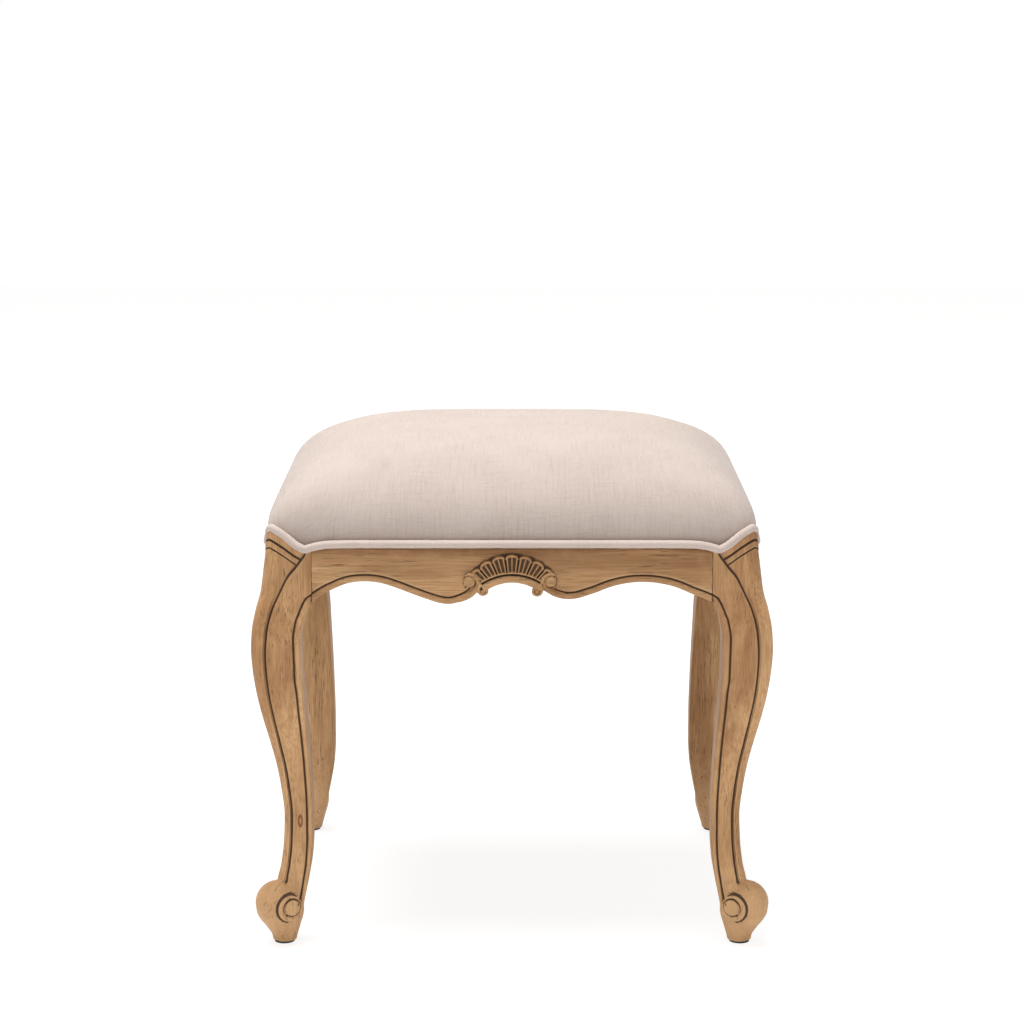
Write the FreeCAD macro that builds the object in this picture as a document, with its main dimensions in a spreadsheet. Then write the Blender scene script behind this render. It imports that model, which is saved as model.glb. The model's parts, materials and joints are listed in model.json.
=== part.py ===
import FreeCAD
import Part
import math
import os
import Sketcher
from FreeCAD import Placement, Rotation, Vector

# Dressing stool: carved wooden frame with a fixed, crowned seat. Millimetres, +Z up.
# The origin is on the floor under the middle of the stool, the front faces -Y.

doc = FreeCAD.newDocument("dressing_stool")

frame_sizes = {
    "frame_width": 486,  # over the outer faces of the corner posts
    "frame_depth": 406,
    "rail_top": 403,
    "rail_thickness": 22,
    "post_side": 48,
    "post_round": 41,  # rounded outer corner of a post at the seat
    "joint_drop": 54,  # length of the joint line between a leg and a rail
    "joint_spare": 0.3,  # wood on a post that its flat joint faces are cut from
    "tenon_length": 22,
    "tenon_thickness": 10,
    "tenon_setback": 10,  # from the face of the rail
    "tenon_shoulder": 9,  # above and below the tenon
    "glue_gap": 0.1,
    "horn_wall": 5,  # lip of a post that rises round the seat corner
    "horn_rise": 14,
}

# A leg's sections from the seat to the floor: flare is how far the outer faces stand outside the post,
# rounding is the outer corner, lag is how far the faces fall back towards the rails.
leg_sections = {
    "post_top": {"flare": 0, "rounding": 41, "lag": 0, "easing": 1.5},
    "post_middle": {"rise": 0.67, "flare": 0.3, "rounding": 32, "lag": 0.3, "easing": 1.5},
    "post_low": {"rise": 0.33, "flare": 2.5, "rounding": 24, "lag": 2.5, "easing": 1.5},
    "joint": {"flare": 6, "rounding": 18.5, "lag": 5.5, "easing": 1.5},
    "shoulder": {"share": 0.926, "flare": 10, "width": 51.5, "rounding": 15, "lag": 5, "easing": 2.5},
    "knee": {"share": 0.834, "flare": 12, "width": 51.2, "rounding": 14, "lag": 2, "easing": 2.5},
    "hock": {"share": 0.693, "flare": 8.2, "width": 49.4, "rounding": 12.7, "lag": 0, "easing": 2.5},
    "calf": {"share": 0.551, "flare": 0, "width": 43.5, "rounding": 11.2, "lag": 0, "easing": 2.5},
    "shin": {"share": 0.403, "flare": -9.4, "width": 36.3, "rounding": 9, "lag": 0, "easing": 2.5},
    "ankle": {"share": 0.244, "flare": -15, "width": 32, "rounding": 7.2, "lag": 0, "easing": 2.5},
    "instep": {"share": 0.12, "flare": -14.9, "width": 31.6, "rounding": 7.2, "lag": 0, "easing": 3},
    "cuff": {"height": 66, "flare": -10.7, "width": 31.7, "rounding": 9, "lag": 0, "easing": 4},
    "toe": {"height": 40, "flare": -7.5, "width": 29, "rounding": 9, "lag": 0, "easing": 5.5},
    "pad": {"height": 19, "flare": -5, "width": 26, "rounding": 8.5, "lag": 0, "easing": 7},
    "sole": {"flare": -3.5, "width": 23.5, "rounding": 8.5, "lag": 0, "easing": 8},
}

foot_sizes = {
    "ball_radius": 24,  # the roll of the scroll foot
    "ball_flare": -9,
    "ball_height": 36.5,
    "scroll_radius": 12.5,
    "scroll_length": 45,  # over both scroll faces of one foot
    "eye_radius": 7.5,
    "eye_stand": 2,
    "glide_thickness": 2.5,
    "glide_radius": 10,
    "glide_nail_radius": 1.2,
    "glide_nail_length": 14,
}

# Lower edge of a rail: an arch beside each leg, a hanging cusp each side of the middle, and a middle arch.
apron_sizes = {
    "arch_drop": 32.4,  # rail top down to the top of the arches
    "cusp_drop": 52.5,
    "middle_drop": 33.3,
    "long_arch_place": 136,
    "long_cusp_place": 58.7,
    "long_cusp_radius": 43.7,
    "long_cusp_end": 31,
    "short_arch_place": 104,
    "short_cusp_place": 45,
    "short_cusp_radius": 26,
    "short_cusp_end": 26,
}

shell_sizes = {
    "fan_drop": 57.7,  # rail top down to the point the petals spread from
    "fan_tip": 52.5,
    "fan_root": 33,
    "fan_root_spread": 3,  # extra root radius from each petal to the next one out
    "petal_angle": 15.7,
    "petal_tip_radius": 6.4,
    "petal_root_radius": 4,
    "petal_sink": 2.4,  # petal axis behind the face of the rail
    "fan_plate": 2,
    "band_drop": 76.1,
    "band_radius": 50.5,
    "band_width": 7.5,
    "band_angle": 68,
    "band_relief": 5,
    "volute_place": 40.4,
    "volute_drop": 31.4,
    "volute_radius": 5.8,
    "volute_relief": 6,
    "curl_place": 25.3,
    "curl_drop": 42,
    "curl_radius": 4.2,
    "curl_relief": 5.5,
}

brace_sizes = {
    "block_reach": 67,  # along each rail from the post
    "block_height": 25,
    "block_screw_place": 37,  # from the post
    "block_screw_drop": 13,
    "block_screw_bite": 14,  # in the rail
    "block_screw_length": 30,
    "seat_screw_place": 10,  # from the inner corner of the post, both ways
    "seat_screw_sink": 17,  # under the rail top
    "seat_screw_length": 31,
    "screw_radius": 2,
    "screw_head_radius": 4,
    "screw_head": 3,
    "screw_point": 4,
    "screw_clearance": 0.2,
}

seat_sizes = {
    "dust_cover_thickness": 0.6,
    "dust_cover_inset": 14,
    "cover_thickness": 1.2,
    "cover_turn": 25,  # turned under the board
    "cover_inset": 3.5,  # fullest line of the side behind the face of the frame
    "cover_draw": 2.5,  # extra at the foot, where the side is drawn in
    "crown_height": 95.5,
    "crown_power": 3.4,
    "crown_corner": 41,
    "crown_corner_growth": 45,
    "board_thickness": 12,
    "soft_clearance": 0.3,
    "wadding_thickness": 8,
    "welt_radius": 3.75,
    "welt_corner_radius": 3.7,
    "welt_inset": 1.5,
    "staple_width": 10,
    "staple_wire": 1,
    "staple_leg": 6,
    "staple_inset": 14,  # behind the edge of the board
    "staple_spacing": 52,
}

sheet = doc.addObject("Spreadsheet::Sheet", "sizes")
all_sizes = {}
for group in (frame_sizes, foot_sizes, apron_sizes, shell_sizes, brace_sizes, seat_sizes):
    all_sizes.update(group)
for section_name, section in leg_sections.items():
    for measure, section_value in section.items():
        all_sizes[section_name + "_" + measure] = section_value
for row, (alias, number) in enumerate(all_sizes.items(), start=1):
    sheet.set(f"A{row}", alias)
    sheet.set(f"B{row}", str(number))
    sheet.setAlias(f"B{row}", alias)
doc.recompute()

nodes = []


def size(alias):
    return float(sheet.get(alias))


def formula(text):
    """An expression in which each size is written as its plain alias."""
    words = []
    for word in text.split():
        words.append("sizes." + word if word in all_sizes else word)
    return " ".join(words)


def bind(thing, **expressions):
    for name, text in expressions.items():
        thing.setExpression(name.replace("__", "."), formula(text))


def place(thing, x="0", y="0", z="0", rotation=None):
    if rotation is not None:
        thing.Placement = Placement(Vector(), rotation)
    bind(thing, Placement__Base__x=x, Placement__Base__y=y, Placement__Base__z=z)


def make(kind, name, **expressions):
    thing = doc.addObject(kind, name)
    bind(thing, **expressions)
    return thing


def keep(thing, name):
    thing.Label = name
    nodes.append(thing)
    return thing


def join(kind, name, things):
    joined = doc.addObject(kind, name)
    if kind == "Part::Compound":
        joined.Links = things
    else:
        joined.Shapes = things
    return joined


def cut(name, base, tool):
    result = doc.addObject("Part::Cut", name)
    result.Base = base
    result.Tool = tool
    return result


def mirror(name, source, normal):
    copy = doc.addObject("Part::Mirroring", name)
    copy.Source = source
    copy.Normal = normal
    return copy


def four_corners(source, name):
    """The rear right piece and its three mirror images, as one node for each corner."""
    keep(source, name + "_rear_right")
    rear_left = keep(mirror(name + "_rl", source, Vector(1, 0, 0)), name + "_rear_left")
    keep(mirror(name + "_fr", source, Vector(0, 1, 0)), name + "_front_right")
    keep(mirror(name + "_fl", rear_left, Vector(0, 1, 0)), name + "_front_left")


def grouped_corners(source, name):
    """The rear right pieces and their three mirror images, as one node."""
    rear_left = mirror(name + "_rl", source, Vector(1, 0, 0))
    front_right = mirror(name + "_fr", source, Vector(0, 1, 0))
    front_left = mirror(name + "_fl", rear_left, Vector(0, 1, 0))
    return keep(join("Part::Compound", name + "_all", [source, rear_left, front_right, front_left]), name)


def origin_plane(body, role):
    return next(feature for feature in body.Origin.OriginFeatures if feature.Role == role)


def new_sketch(body, name, role, offset):
    sketch = body.newObject("Sketcher::SketchObject", name)
    sketch.AttachmentSupport = (origin_plane(body, role), [""])
    sketch.MapMode = "FlatFace"
    bind(sketch, AttachmentOffset__Base__z=offset)
    return sketch


def dimension(sketch, name, text, *constraint):
    index = sketch.addConstraint(Sketcher.Constraint(*constraint))
    sketch.renameConstraint(index, name)
    bind(sketch, **{"Constraints__" + name: text})


def locate(sketch, name, geometry, point, start, x, y):
    dimension(sketch, name + "_x", x, "DistanceX", -1, 1, geometry, point, start.x)
    dimension(sketch, name + "_y", y, "DistanceY", -1, 1, geometry, point, start.y)


def value(text):
    """The number that an expression of sizes stands for."""
    probe = doc.addObject("App::FeaturePython", "probe")
    probe.addProperty("App::PropertyFloat", "Number")
    bind(probe, Number=text)
    doc.recompute()
    number = probe.Number
    doc.removeObject(probe.Name)
    return number


def rectangle(sketch, x, y, width, height):
    """A rectangle from its lowest corner."""
    spread = 10.0
    corners = [Vector(0, 0, 0), Vector(spread, 0, 0), Vector(spread, spread, 0), Vector(0, spread, 0)]
    start = Vector(3 * spread, 3 * spread, 0)
    for index in range(4):
        sketch.addGeometry(Part.LineSegment(start + corners[index], start + corners[(index + 1) % 4]))
    for index in range(4):
        sketch.addConstraint(Sketcher.Constraint("Coincident", index, 2, (index + 1) % 4, 1))
        sketch.addConstraint(Sketcher.Constraint("Vertical" if index % 2 else "Horizontal", index))
    locate(sketch, "corner", 0, 1, start, x, y)
    dimension(sketch, "width", width, "DistanceX", 0, 1, 0, 2, spread)
    dimension(sketch, "height", height, "DistanceY", 1, 1, 1, 2, spread)


# Legs: one carved leg at the rear right, mirrored to the other corners

half_width = "frame_width / 2"
half_depth = "frame_depth / 2"
joint_height = "( rail_top - joint_drop )"
middle_section = joint_height + " - cuff_height"


def section_height(name):
    section = leg_sections[name]
    if "share" in section:
        return f"cuff_height + {name}_share * ( {middle_section} )"
    if "rise" in section:
        return f"{joint_height} + {name}_rise * joint_drop"
    if "height" in section:
        return name + "_height"
    return {"post_top": "rail_top", "joint": joint_height, "sole": "glide_thickness"}[name]


def leg_section(body, name):
    sketch = new_sketch(body, "leg_" + name, "XY_Plane", section_height(name))
    width_name = name + "_width"
    if width_name not in all_sizes:
        width_name = f"( post_side + {name}_flare + joint_spare )"
    flare = size(name + "_flare")
    lag = size(name + "_lag")
    wide = value(width_name)
    outer = Vector(size("frame_width") / 2 + flare, size("frame_depth") / 2 + flare, 0)
    side = outer + Vector(-lag, -wide, 0)
    inner = outer + Vector(-wide, -wide, 0)
    face = outer + Vector(-wide, -lag, 0)
    corners = [outer, side, inner, face]
    turns = [90, 0, 270, 180]
    easing = size(name + "_easing")
    radii = [size(name + "_rounding"), easing, easing, easing]
    middle = (outer + inner) * 0.5
    for index, corner in enumerate(corners):
        next_corner = corners[(index + 1) % 4]
        radius = radii[index]
        along = (next_corner - corner).normalize()
        centre = corner + (middle - corner).normalize() * radius * math.sqrt(2)
        circle = Part.Circle(centre, Vector(0, 0, 1), radius)
        end_turn = math.radians(turns[index])
        sketch.addGeometry(Part.ArcOfCircle(circle, end_turn - math.pi / 2, end_turn))
        start = corner + along * radius
        end = next_corner - along * radii[(index + 1) % 4]
        sketch.addGeometry(Part.LineSegment(start, end))
    points = [sketch.addGeometry(Part.Point(corner), True) for corner in corners]
    for index in range(4):
        arc, line, line_before = 2 * index, 2 * index + 1, (2 * index - 1) % 8
        sketch.addConstraint(Sketcher.Constraint("Tangent", arc, 1, line, 1))
        sketch.addConstraint(Sketcher.Constraint("Tangent", arc, 2, line_before, 2))
        sketch.addConstraint(Sketcher.Constraint("PointOnObject", points[index], 1, line))
        sketch.addConstraint(Sketcher.Constraint("PointOnObject", points[index], 1, line_before))
        radius_text = name + ("_rounding" if index == 0 else "_easing")
        dimension(sketch, f"radius_{index}", radius_text, "Radius", arc, radii[index])
    outer_x = f"{half_width} + {name}_flare"
    outer_y = f"{half_depth} + {name}_flare"
    inner_x = f"{outer_x} - {width_name}"
    inner_y = f"{outer_y} - {width_name}"
    locate(sketch, "outer", points[0], 1, outer, outer_x, outer_y)
    locate(sketch, "side", points[1], 1, side, f"{outer_x} - {name}_lag", inner_y)
    locate(sketch, "inner", points[2], 1, inner, inner_x, inner_y)
    locate(sketch, "face", points[3], 1, face, inner_x, f"{outer_y} - {name}_lag")
    return sketch


leg_body = doc.addObject("PartDesign::Body", "leg_body")
sections = [leg_section(leg_body, name) for name in leg_sections]
leg_loft = leg_body.newObject("PartDesign::AdditiveLoft", "leg_loft")
leg_loft.Profile = sections[0]
leg_loft.Sections = sections[1:]
doc.recompute()

# Scroll foot: a ball with a scroll face at each end of a roll that lies across the corner
roll_turn = Rotation(Vector(0, 0, 1), Vector(1, -1, 0))
ball_x = f"{half_width} + ball_flare"
ball_y = f"{half_depth} + ball_flare"
ball = make("Part::Sphere", "foot_ball", Radius="ball_radius")
place(ball, ball_x, ball_y, "ball_height")
scroll = make("Part::Cylinder", "foot_scroll", Radius="scroll_radius", Height="scroll_length")
scroll_reach = "scroll_length / sqrt(8)"
place(scroll, f"{ball_x} - {scroll_reach}", f"{ball_y} + {scroll_reach}", "ball_height", roll_turn)
eye_length = "( scroll_length + 2 * eye_stand )"
eye_reach = f"{eye_length} / sqrt(8)"
scroll_eye = make("Part::Cylinder", "foot_eye", Radius="eye_radius", Height=eye_length)
place(scroll_eye, f"{ball_x} - {eye_reach}", f"{ball_y} + {eye_reach}", "ball_height", roll_turn)

# Piping path: straight along each rail, and a leaning arc over each corner
welt_line_x = size("frame_width") / 2 - size("welt_inset")
welt_line_y = size("frame_depth") / 2 - size("welt_inset")
welt_low = size("rail_top") + size("welt_radius")
corner_x = size("frame_width") / 2 - size("post_round")
corner_y = size("frame_depth") / 2 - size("post_round")
welt_bend = (size("post_round") - size("welt_inset")) / math.sqrt(2)
welt_peak = Vector(corner_x + welt_bend, corner_y + welt_bend, welt_low + size("horn_rise"))


def flipped(point, x_sign, y_sign):
    return Vector(point.x * x_sign, point.y * y_sign, point.z)


def corner_arc(x_sign, y_sign):
    on_side = Vector(welt_line_x, corner_y, welt_low)
    on_rear = Vector(corner_x, welt_line_y, welt_low)
    ends = [flipped(point, x_sign, y_sign) for point in (on_side, welt_peak, on_rear)]
    return Part.Arc(*ends).toShape()


def round_tube(path, radius):
    start = path.Edges[0]
    ring = Part.Circle(start.valueAt(start.FirstParameter), start.tangentAt(start.FirstParameter), radius)
    return Part.Wire(path).makePipeShell([Part.Wire(ring.toShape())], True, False)


seat_arc = corner_arc(1, 1)
seat_tube = round_tube(seat_arc, size("welt_corner_radius") + size("glue_gap"))
end_radius = size("welt_radius") + size("glue_gap")
seat_ends = [Part.makeSphere(end_radius, end.Point) for end in seat_arc.Vertexes]
welt_seat = doc.addObject("Part::Feature", "welt_seat")
welt_seat.Shape = seat_tube.multiFuse(seat_ends)

# Lip of the post round the seat corner, arched between the two rails
horn_corner = (f"{half_width} - post_round", f"{half_depth} - post_round")
horn_outer = make(
    "Part::Cylinder", "horn_outer", Radius="post_round", Height="2 * horn_rise", Angle="90"
)
place(horn_outer, *horn_corner, "rail_top")
horn_inner = make(
    "Part::Cylinder", "horn_inner", Radius="post_round - horn_wall", Height="3 * horn_rise", Angle="90"
)
place(horn_inner, *horn_corner, "rail_top - horn_rise / 2")
horn_ring = cut("horn_ring", horn_outer, horn_inner)
arch_radius = "( ( post_round ^ 2 / 2 + horn_rise ^ 2 ) / ( 2 * horn_rise ) )"
horn_arch = make("Part::Cylinder", "horn_arch", Radius=arch_radius, Height="2 * post_round")
across_corner = Rotation(Vector(0, 0, 1), Vector(1, 1, 0))
place(horn_arch, *horn_corner, f"rail_top + horn_rise - {arch_radius}", across_corner)
horn_blank = doc.addObject("Part::MultiCommon", "horn_blank")
horn_blank.Shapes = [horn_ring, horn_arch]
horn = cut("horn", horn_blank, welt_seat)

leg_blank = join("Part::MultiFuse", "leg_blank", [leg_body, ball, scroll, scroll_eye, horn])

# Flat joint faces against the two rails, their mortises, and the hole for the glide's nail
post_x = f"{half_width} - post_side"
post_y = f"{half_depth} - post_side"
shave = make("Part::Box", "shave_side", Length="post_side", Width="3 * post_side", Height="2 * joint_drop")
place(shave, f"{post_x} - post_side", f"{post_y} - post_side", joint_height)
shave_rear = make(
    "Part::Box", "shave_rear", Length="2 * post_side", Width="post_side", Height="2 * joint_drop"
)
place(shave_rear, post_x, f"{post_y} - post_side", joint_height)
tenon_height = "( joint_drop - 2 * tenon_shoulder )"
mortise_low = f"{joint_height} + tenon_shoulder - glue_gap"
mortise_width = "tenon_thickness + 2 * glue_gap"
mortise_tall = f"{tenon_height} + 2 * glue_gap"
mortise_rear = make(
    "Part::Box", "mortise_rear", Length="tenon_length + glue_gap", Width=mortise_width, Height=mortise_tall
)
place(mortise_rear, post_x, f"{half_depth} - tenon_setback - tenon_thickness - glue_gap", mortise_low)
mortise_side = make(
    "Part::Box", "mortise_side", Length=mortise_width, Width="tenon_length + glue_gap", Height=mortise_tall
)
place(mortise_side, f"{half_width} - tenon_setback - tenon_thickness - glue_gap", post_y, mortise_low)
glide_x = f"{half_width} + sole_flare - sole_width / 2"
glide_y = f"{half_depth} + sole_flare - sole_width / 2"
nail_hole = make("Part::Cylinder", "nail_hole", Radius="glide_nail_radius + glue_gap",
                 Height="glide_nail_length + glue_gap")
place(nail_hole, glide_x, glide_y, "glide_thickness")
leg_cuts = join("Part::MultiFuse", "leg_cuts", [shave, shave_rear, mortise_rear, mortise_side, nail_hole])
four_corners(cut("leg", leg_blank, leg_cuts), "leg")

# Glides: a nailed disc under each foot
glide_disc = make("Part::Cylinder", "glide_disc", Radius="glide_radius", Height="glide_thickness")
place(glide_disc, glide_x, glide_y, "0")
glide_nail = make(
    "Part::Cylinder", "glide_nail", Radius="glide_nail_radius", Height="glide_thickness + glide_nail_length"
)
place(glide_nail, glide_x, glide_y, "0")
four_corners(join("Part::MultiFuse", "glide", [glide_disc, glide_nail]), "glide")


# Rails: half of the outline drawn and mirrored, with a tenon at each end and a pilot hole for each screw


def apron(name, kind, half_span, face, turn):
    body = doc.addObject("PartDesign::Body", name + "_body")
    outline = new_sketch(body, name + "_outline", "XZ_Plane", face)
    top = size("rail_top")
    low = top - size("joint_drop")
    span = {"long": size("frame_width"), "short": size("frame_depth")}[kind] / 2 - size("post_side")
    foot = Vector(span, low, 0)
    arch = Vector(size(kind + "_arch_place"), top - size("arch_drop"), 0)
    cusp_r = size(kind + "_cusp_radius")
    cusp = Vector(size(kind + "_cusp_place"), top - size("cusp_drop") + cusp_r, 0)
    # the arch falls to the joint line in one arc, and to the cusp in an arc that turns into the cusp's own
    outer_r = ((span - arch.x) ** 2 + (arch.y - low) ** 2) / (2 * (arch.y - low))
    outer = Vector(arch.x, arch.y - outer_r, 0)
    fall = size("cusp_drop") - size("arch_drop")
    inner_r = ((arch.x - cusp.x) ** 2 + fall ** 2) / (2 * fall) - cusp_r
    inner = Vector(arch.x, arch.y - inner_r, 0)
    foot_turn = math.atan2(foot.y - outer.y, foot.x - outer.x)
    bend_turn = math.atan2(cusp.y - inner.y, cusp.x - inner.x)
    end_x = size(kind + "_cusp_end")
    end = Vector(end_x, cusp.y - math.sqrt(cusp_r ** 2 - (cusp.x - end_x) ** 2), 0)
    end_turn = math.atan2(end.y - cusp.y, end.x - cusp.x)
    middle_top = top - size("middle_drop")
    rise = middle_top - end.y
    middle_r = (end_x ** 2 + rise ** 2) / (2 * rise)
    middle = Vector(0, middle_top - middle_r, 0)
    middle_turn = math.atan2(end.y - middle.y, end.x)
    up = Vector(0, 0, 1)
    outline.addGeometry(Part.LineSegment(Vector(0, top, 0), Vector(span, top, 0)))
    outline.addGeometry(Part.LineSegment(Vector(span, top, 0), foot))
    outline.addGeometry(Part.ArcOfCircle(Part.Circle(outer, up, outer_r), foot_turn, math.pi / 2))
    outline.addGeometry(Part.ArcOfCircle(Part.Circle(inner, up, inner_r), math.pi / 2, bend_turn))
    outline.addGeometry(Part.ArcOfCircle(Part.Circle(cusp, up, cusp_r), end_turn, bend_turn - math.pi))
    outline.addGeometry(Part.ArcOfCircle(Part.Circle(middle, up, middle_r), middle_turn, math.pi / 2))
    outline.addGeometry(Part.LineSegment(Vector(0, middle_top, 0), Vector(0, top, 0)))
    meetings = [((0, 2), (1, 1)), ((1, 2), (2, 1)), ((2, 2), (3, 1))]
    meetings += [((4, 1), (5, 1)), ((5, 2), (6, 1)), ((6, 2), (0, 1))]
    for first, second in meetings:
        outline.addConstraint(Sketcher.Constraint("Coincident", *first, *second))
    outline.addConstraint(Sketcher.Constraint("Tangent", 3, 2, 4, 2))
    outline.addConstraint(Sketcher.Constraint("Horizontal", 0))
    outline.addConstraint(Sketcher.Constraint("Vertical", 1))
    outline.addConstraint(Sketcher.Constraint("Vertical", 6))
    outline.addConstraint(Sketcher.Constraint("PointOnObject", 0, 1, -2))
    outline.addConstraint(Sketcher.Constraint("PointOnObject", 5, 3, -2))
    locate(outline, "top_end", 0, 2, Vector(span, top, 0), half_span, "rail_top")
    dimension(outline, "joint_foot", joint_height, "DistanceY", -1, 1, 1, 2, low)
    locate(outline, "arch", 2, 2, arch, kind + "_arch_place", "rail_top - arch_drop")
    dimension(outline, "outer_centre", kind + "_arch_place", "DistanceX", -1, 1, 2, 3, arch.x)
    dimension(outline, "inner_centre", kind + "_arch_place", "DistanceX", -1, 1, 3, 3, arch.x)
    locate(outline, "cusp", 4, 3, cusp, kind + "_cusp_place", f"rail_top - cusp_drop + {kind}_cusp_radius")
    dimension(outline, "cusp_radius", kind + "_cusp_radius", "Radius", 4, cusp_r)
    dimension(outline, "cusp_end", kind + "_cusp_end", "DistanceX", -1, 1, 4, 1, end_x)
    dimension(outline, "middle_top", "rail_top - middle_drop", "DistanceY", -1, 1, 5, 2, middle_top)
    rail = body.newObject("PartDesign::Pad", name + "_rail")
    rail.Profile = outline
    rail.Reversed = True
    bind(rail, Length="rail_thickness")

    tongue = new_sketch(body, name + "_tongue", "XZ_Plane", face + " - tenon_setback")
    rectangle(tongue, f"{half_span} - tenon_shoulder", f"{joint_height} + tenon_shoulder",
              "tenon_length + tenon_shoulder", tenon_height)
    tenon = body.newObject("PartDesign::Pad", name + "_tenon")
    tenon.Profile = tongue
    tenon.Reversed = True
    bind(tenon, Length="tenon_thickness")

    pilot_sketch = new_sketch(body, name + "_pilot", "XZ_Plane", face + " - rail_thickness")
    pilot_place = Vector(span - size("block_screw_place"), top - size("block_screw_drop"), 0)
    pilot_r = size("screw_radius") + size("screw_clearance")
    pilot_sketch.addGeometry(Part.Circle(pilot_place, up, pilot_r))
    pilot_x = half_span + " - block_screw_place"
    locate(pilot_sketch, "pilot", 0, 3, pilot_place, pilot_x, "rail_top - block_screw_drop")
    dimension(pilot_sketch, "pilot_radius", "screw_radius + screw_clearance", "Radius", 0, pilot_r)
    doc.recompute()
    pilot = body.newObject("PartDesign::Pocket", name + "_pilot_hole")
    pilot.Profile = pilot_sketch
    pilot.Reversed = True
    bind(pilot, Length="block_screw_bite + screw_clearance")
    doc.recompute()
    both = body.newObject("PartDesign::Mirrored", name + "_both")
    both.Originals = [rail, tenon, pilot]
    both.MirrorPlane = (origin_plane(body, "YZ_Plane"), [""])
    body.Tip = both
    body.Placement = Placement(Vector(), Rotation(Vector(0, 0, 1), turn))
    keep(body, name)


long_span = f"{half_width} - post_side"
short_span = f"{half_depth} - post_side"
apron("apron_front", "long", long_span, half_depth, 0)
apron("apron_right", "short", short_span, half_width, 90)
apron("apron_rear", "long", long_span, half_depth, 180)
apron("apron_left", "short", short_span, half_width, 270)

# Shell: seven petals over a curved band, a volute at each end and a small curl under each end of the band
outward = Rotation(Vector(0, 0, 1), Vector(0, -1, 0))
rail_face = f"- ( {half_depth} )"
fan_height = "( rail_top - fan_drop )"
petal_count = 7
fan_half_angle = (petal_count - 0.6) / 2  # in petal angles, just inside the outermost petals' edges
shell_pieces = []
for index in range(petal_count):
    step = index - petal_count // 2
    turn = math.radians(size("petal_angle") * step)
    direction = Vector(math.sin(turn), 0, math.cos(turn))
    sine = f"sin( {step} * petal_angle )"
    cosine = f"cos( {step} * petal_angle )"
    root = f"( fan_root + fan_root_spread * {abs(step)} )"
    tip = "( fan_tip - petal_tip_radius )"
    axis_y = f"{rail_face} + petal_sink"
    petal = make("Part::Cone", f"petal_{index}", Radius1="petal_root_radius", Radius2="petal_tip_radius",
                 Height=f"{tip} - {root}")
    petal_turn = Rotation(Vector(0, 0, 1), direction)
    place(petal, f"{root} * {sine}", axis_y, f"{fan_height} + {root} * {cosine}", petal_turn)
    petal_tip = make("Part::Sphere", f"petal_tip_{index}", Radius="petal_tip_radius")
    place(petal_tip, f"{tip} * {sine}", axis_y, f"{fan_height} + {tip} * {cosine}")
    shell_pieces += [petal, petal_tip]

fan_plate = make("Part::Cylinder", "fan_plate", Radius="fan_tip - petal_tip_radius", Height="fan_plate",
                 Angle=f"2 * {fan_half_angle} * petal_angle")
fan_turn = Rotation(Vector(0, 1, 0), -90 + fan_half_angle * size("petal_angle"))
place(fan_plate, "0", rail_face, fan_height, fan_turn.multiply(outward))
fan_hole = make("Part::Cylinder", "fan_hole", Radius="fan_root", Height="3 * fan_plate")
place(fan_hole, "0", f"{rail_face} + fan_plate", fan_height, outward)
shell_pieces.append(cut("fan", fan_plate, fan_hole))

band_turn = Rotation(Vector(0, 1, 0), -90 + size("band_angle") / 2)
band_outer = make(
    "Part::Cylinder", "band_outer", Radius="band_radius", Height="band_relief", Angle="band_angle"
)
place(band_outer, "0", rail_face, "rail_top - band_drop", band_turn.multiply(outward))
band_inner = make(
    "Part::Cylinder", "band_inner", Radius="band_radius - band_width", Height="3 * band_relief"
)
place(band_inner, "0", f"{rail_face} + band_relief", "rail_top - band_drop", outward)
shell_pieces.append(cut("band", band_outer, band_inner))

for side in (-1, 1):
    for kind in ("volute", "curl"):
        disc = make("Part::Cylinder", f"{kind}_{'left' if side < 0 else 'right'}", Radius=kind + "_radius",
                    Height=kind + "_relief")
        place(disc, f"{side} * {kind}_place", rail_face, f"rail_top - {kind}_drop", outward)
        shell_pieces.append(disc)
shell_blank = join("Part::MultiFuse", "shell_blank", shell_pieces)
rail_space = make(
    "Part::Box", "rail_space", Length="2 * fan_tip", Width="rail_thickness", Height="2 * fan_tip"
)
place(rail_space, "- fan_tip", rail_face, fan_height)
shell = keep(cut("shell", shell_blank, rail_space), "shell_front")
keep(mirror("shell_copy", shell, Vector(0, 1, 0)), "shell_rear")

# Braces: a block behind each post, screwed to both rails
block_body = doc.addObject("PartDesign::Body", "block_body")
block_sketch = new_sketch(block_body, "block_outline", "XY_Plane", "rail_top - block_height")
rail_inside_x = f"{half_width} - rail_thickness"
rail_inside_y = f"{half_depth} - rail_thickness"
block_points = [
    (f"{post_x} - block_reach", rail_inside_y),
    (post_x, rail_inside_y),
    (post_x, post_y),
    (rail_inside_x, post_y),
    (rail_inside_x, f"{post_y} - block_reach"),
]


corners = [Vector(value(x), value(y), 0) for x, y in block_points]
for index, corner in enumerate(corners):
    block_sketch.addGeometry(Part.LineSegment(corner, corners[(index + 1) % len(corners)]))
for index in range(len(corners)):
    block_sketch.addConstraint(Sketcher.Constraint("Coincident", index, 2, (index + 1) % len(corners), 1))
for index, (x, y) in enumerate(block_points):
    locate(block_sketch, f"corner_{index}", index, 1, corners[index], x, y)
block_pad = block_body.newObject("PartDesign::Pad", "block_pad")
block_pad.Profile = block_sketch
bind(block_pad, Length="block_height")


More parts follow.
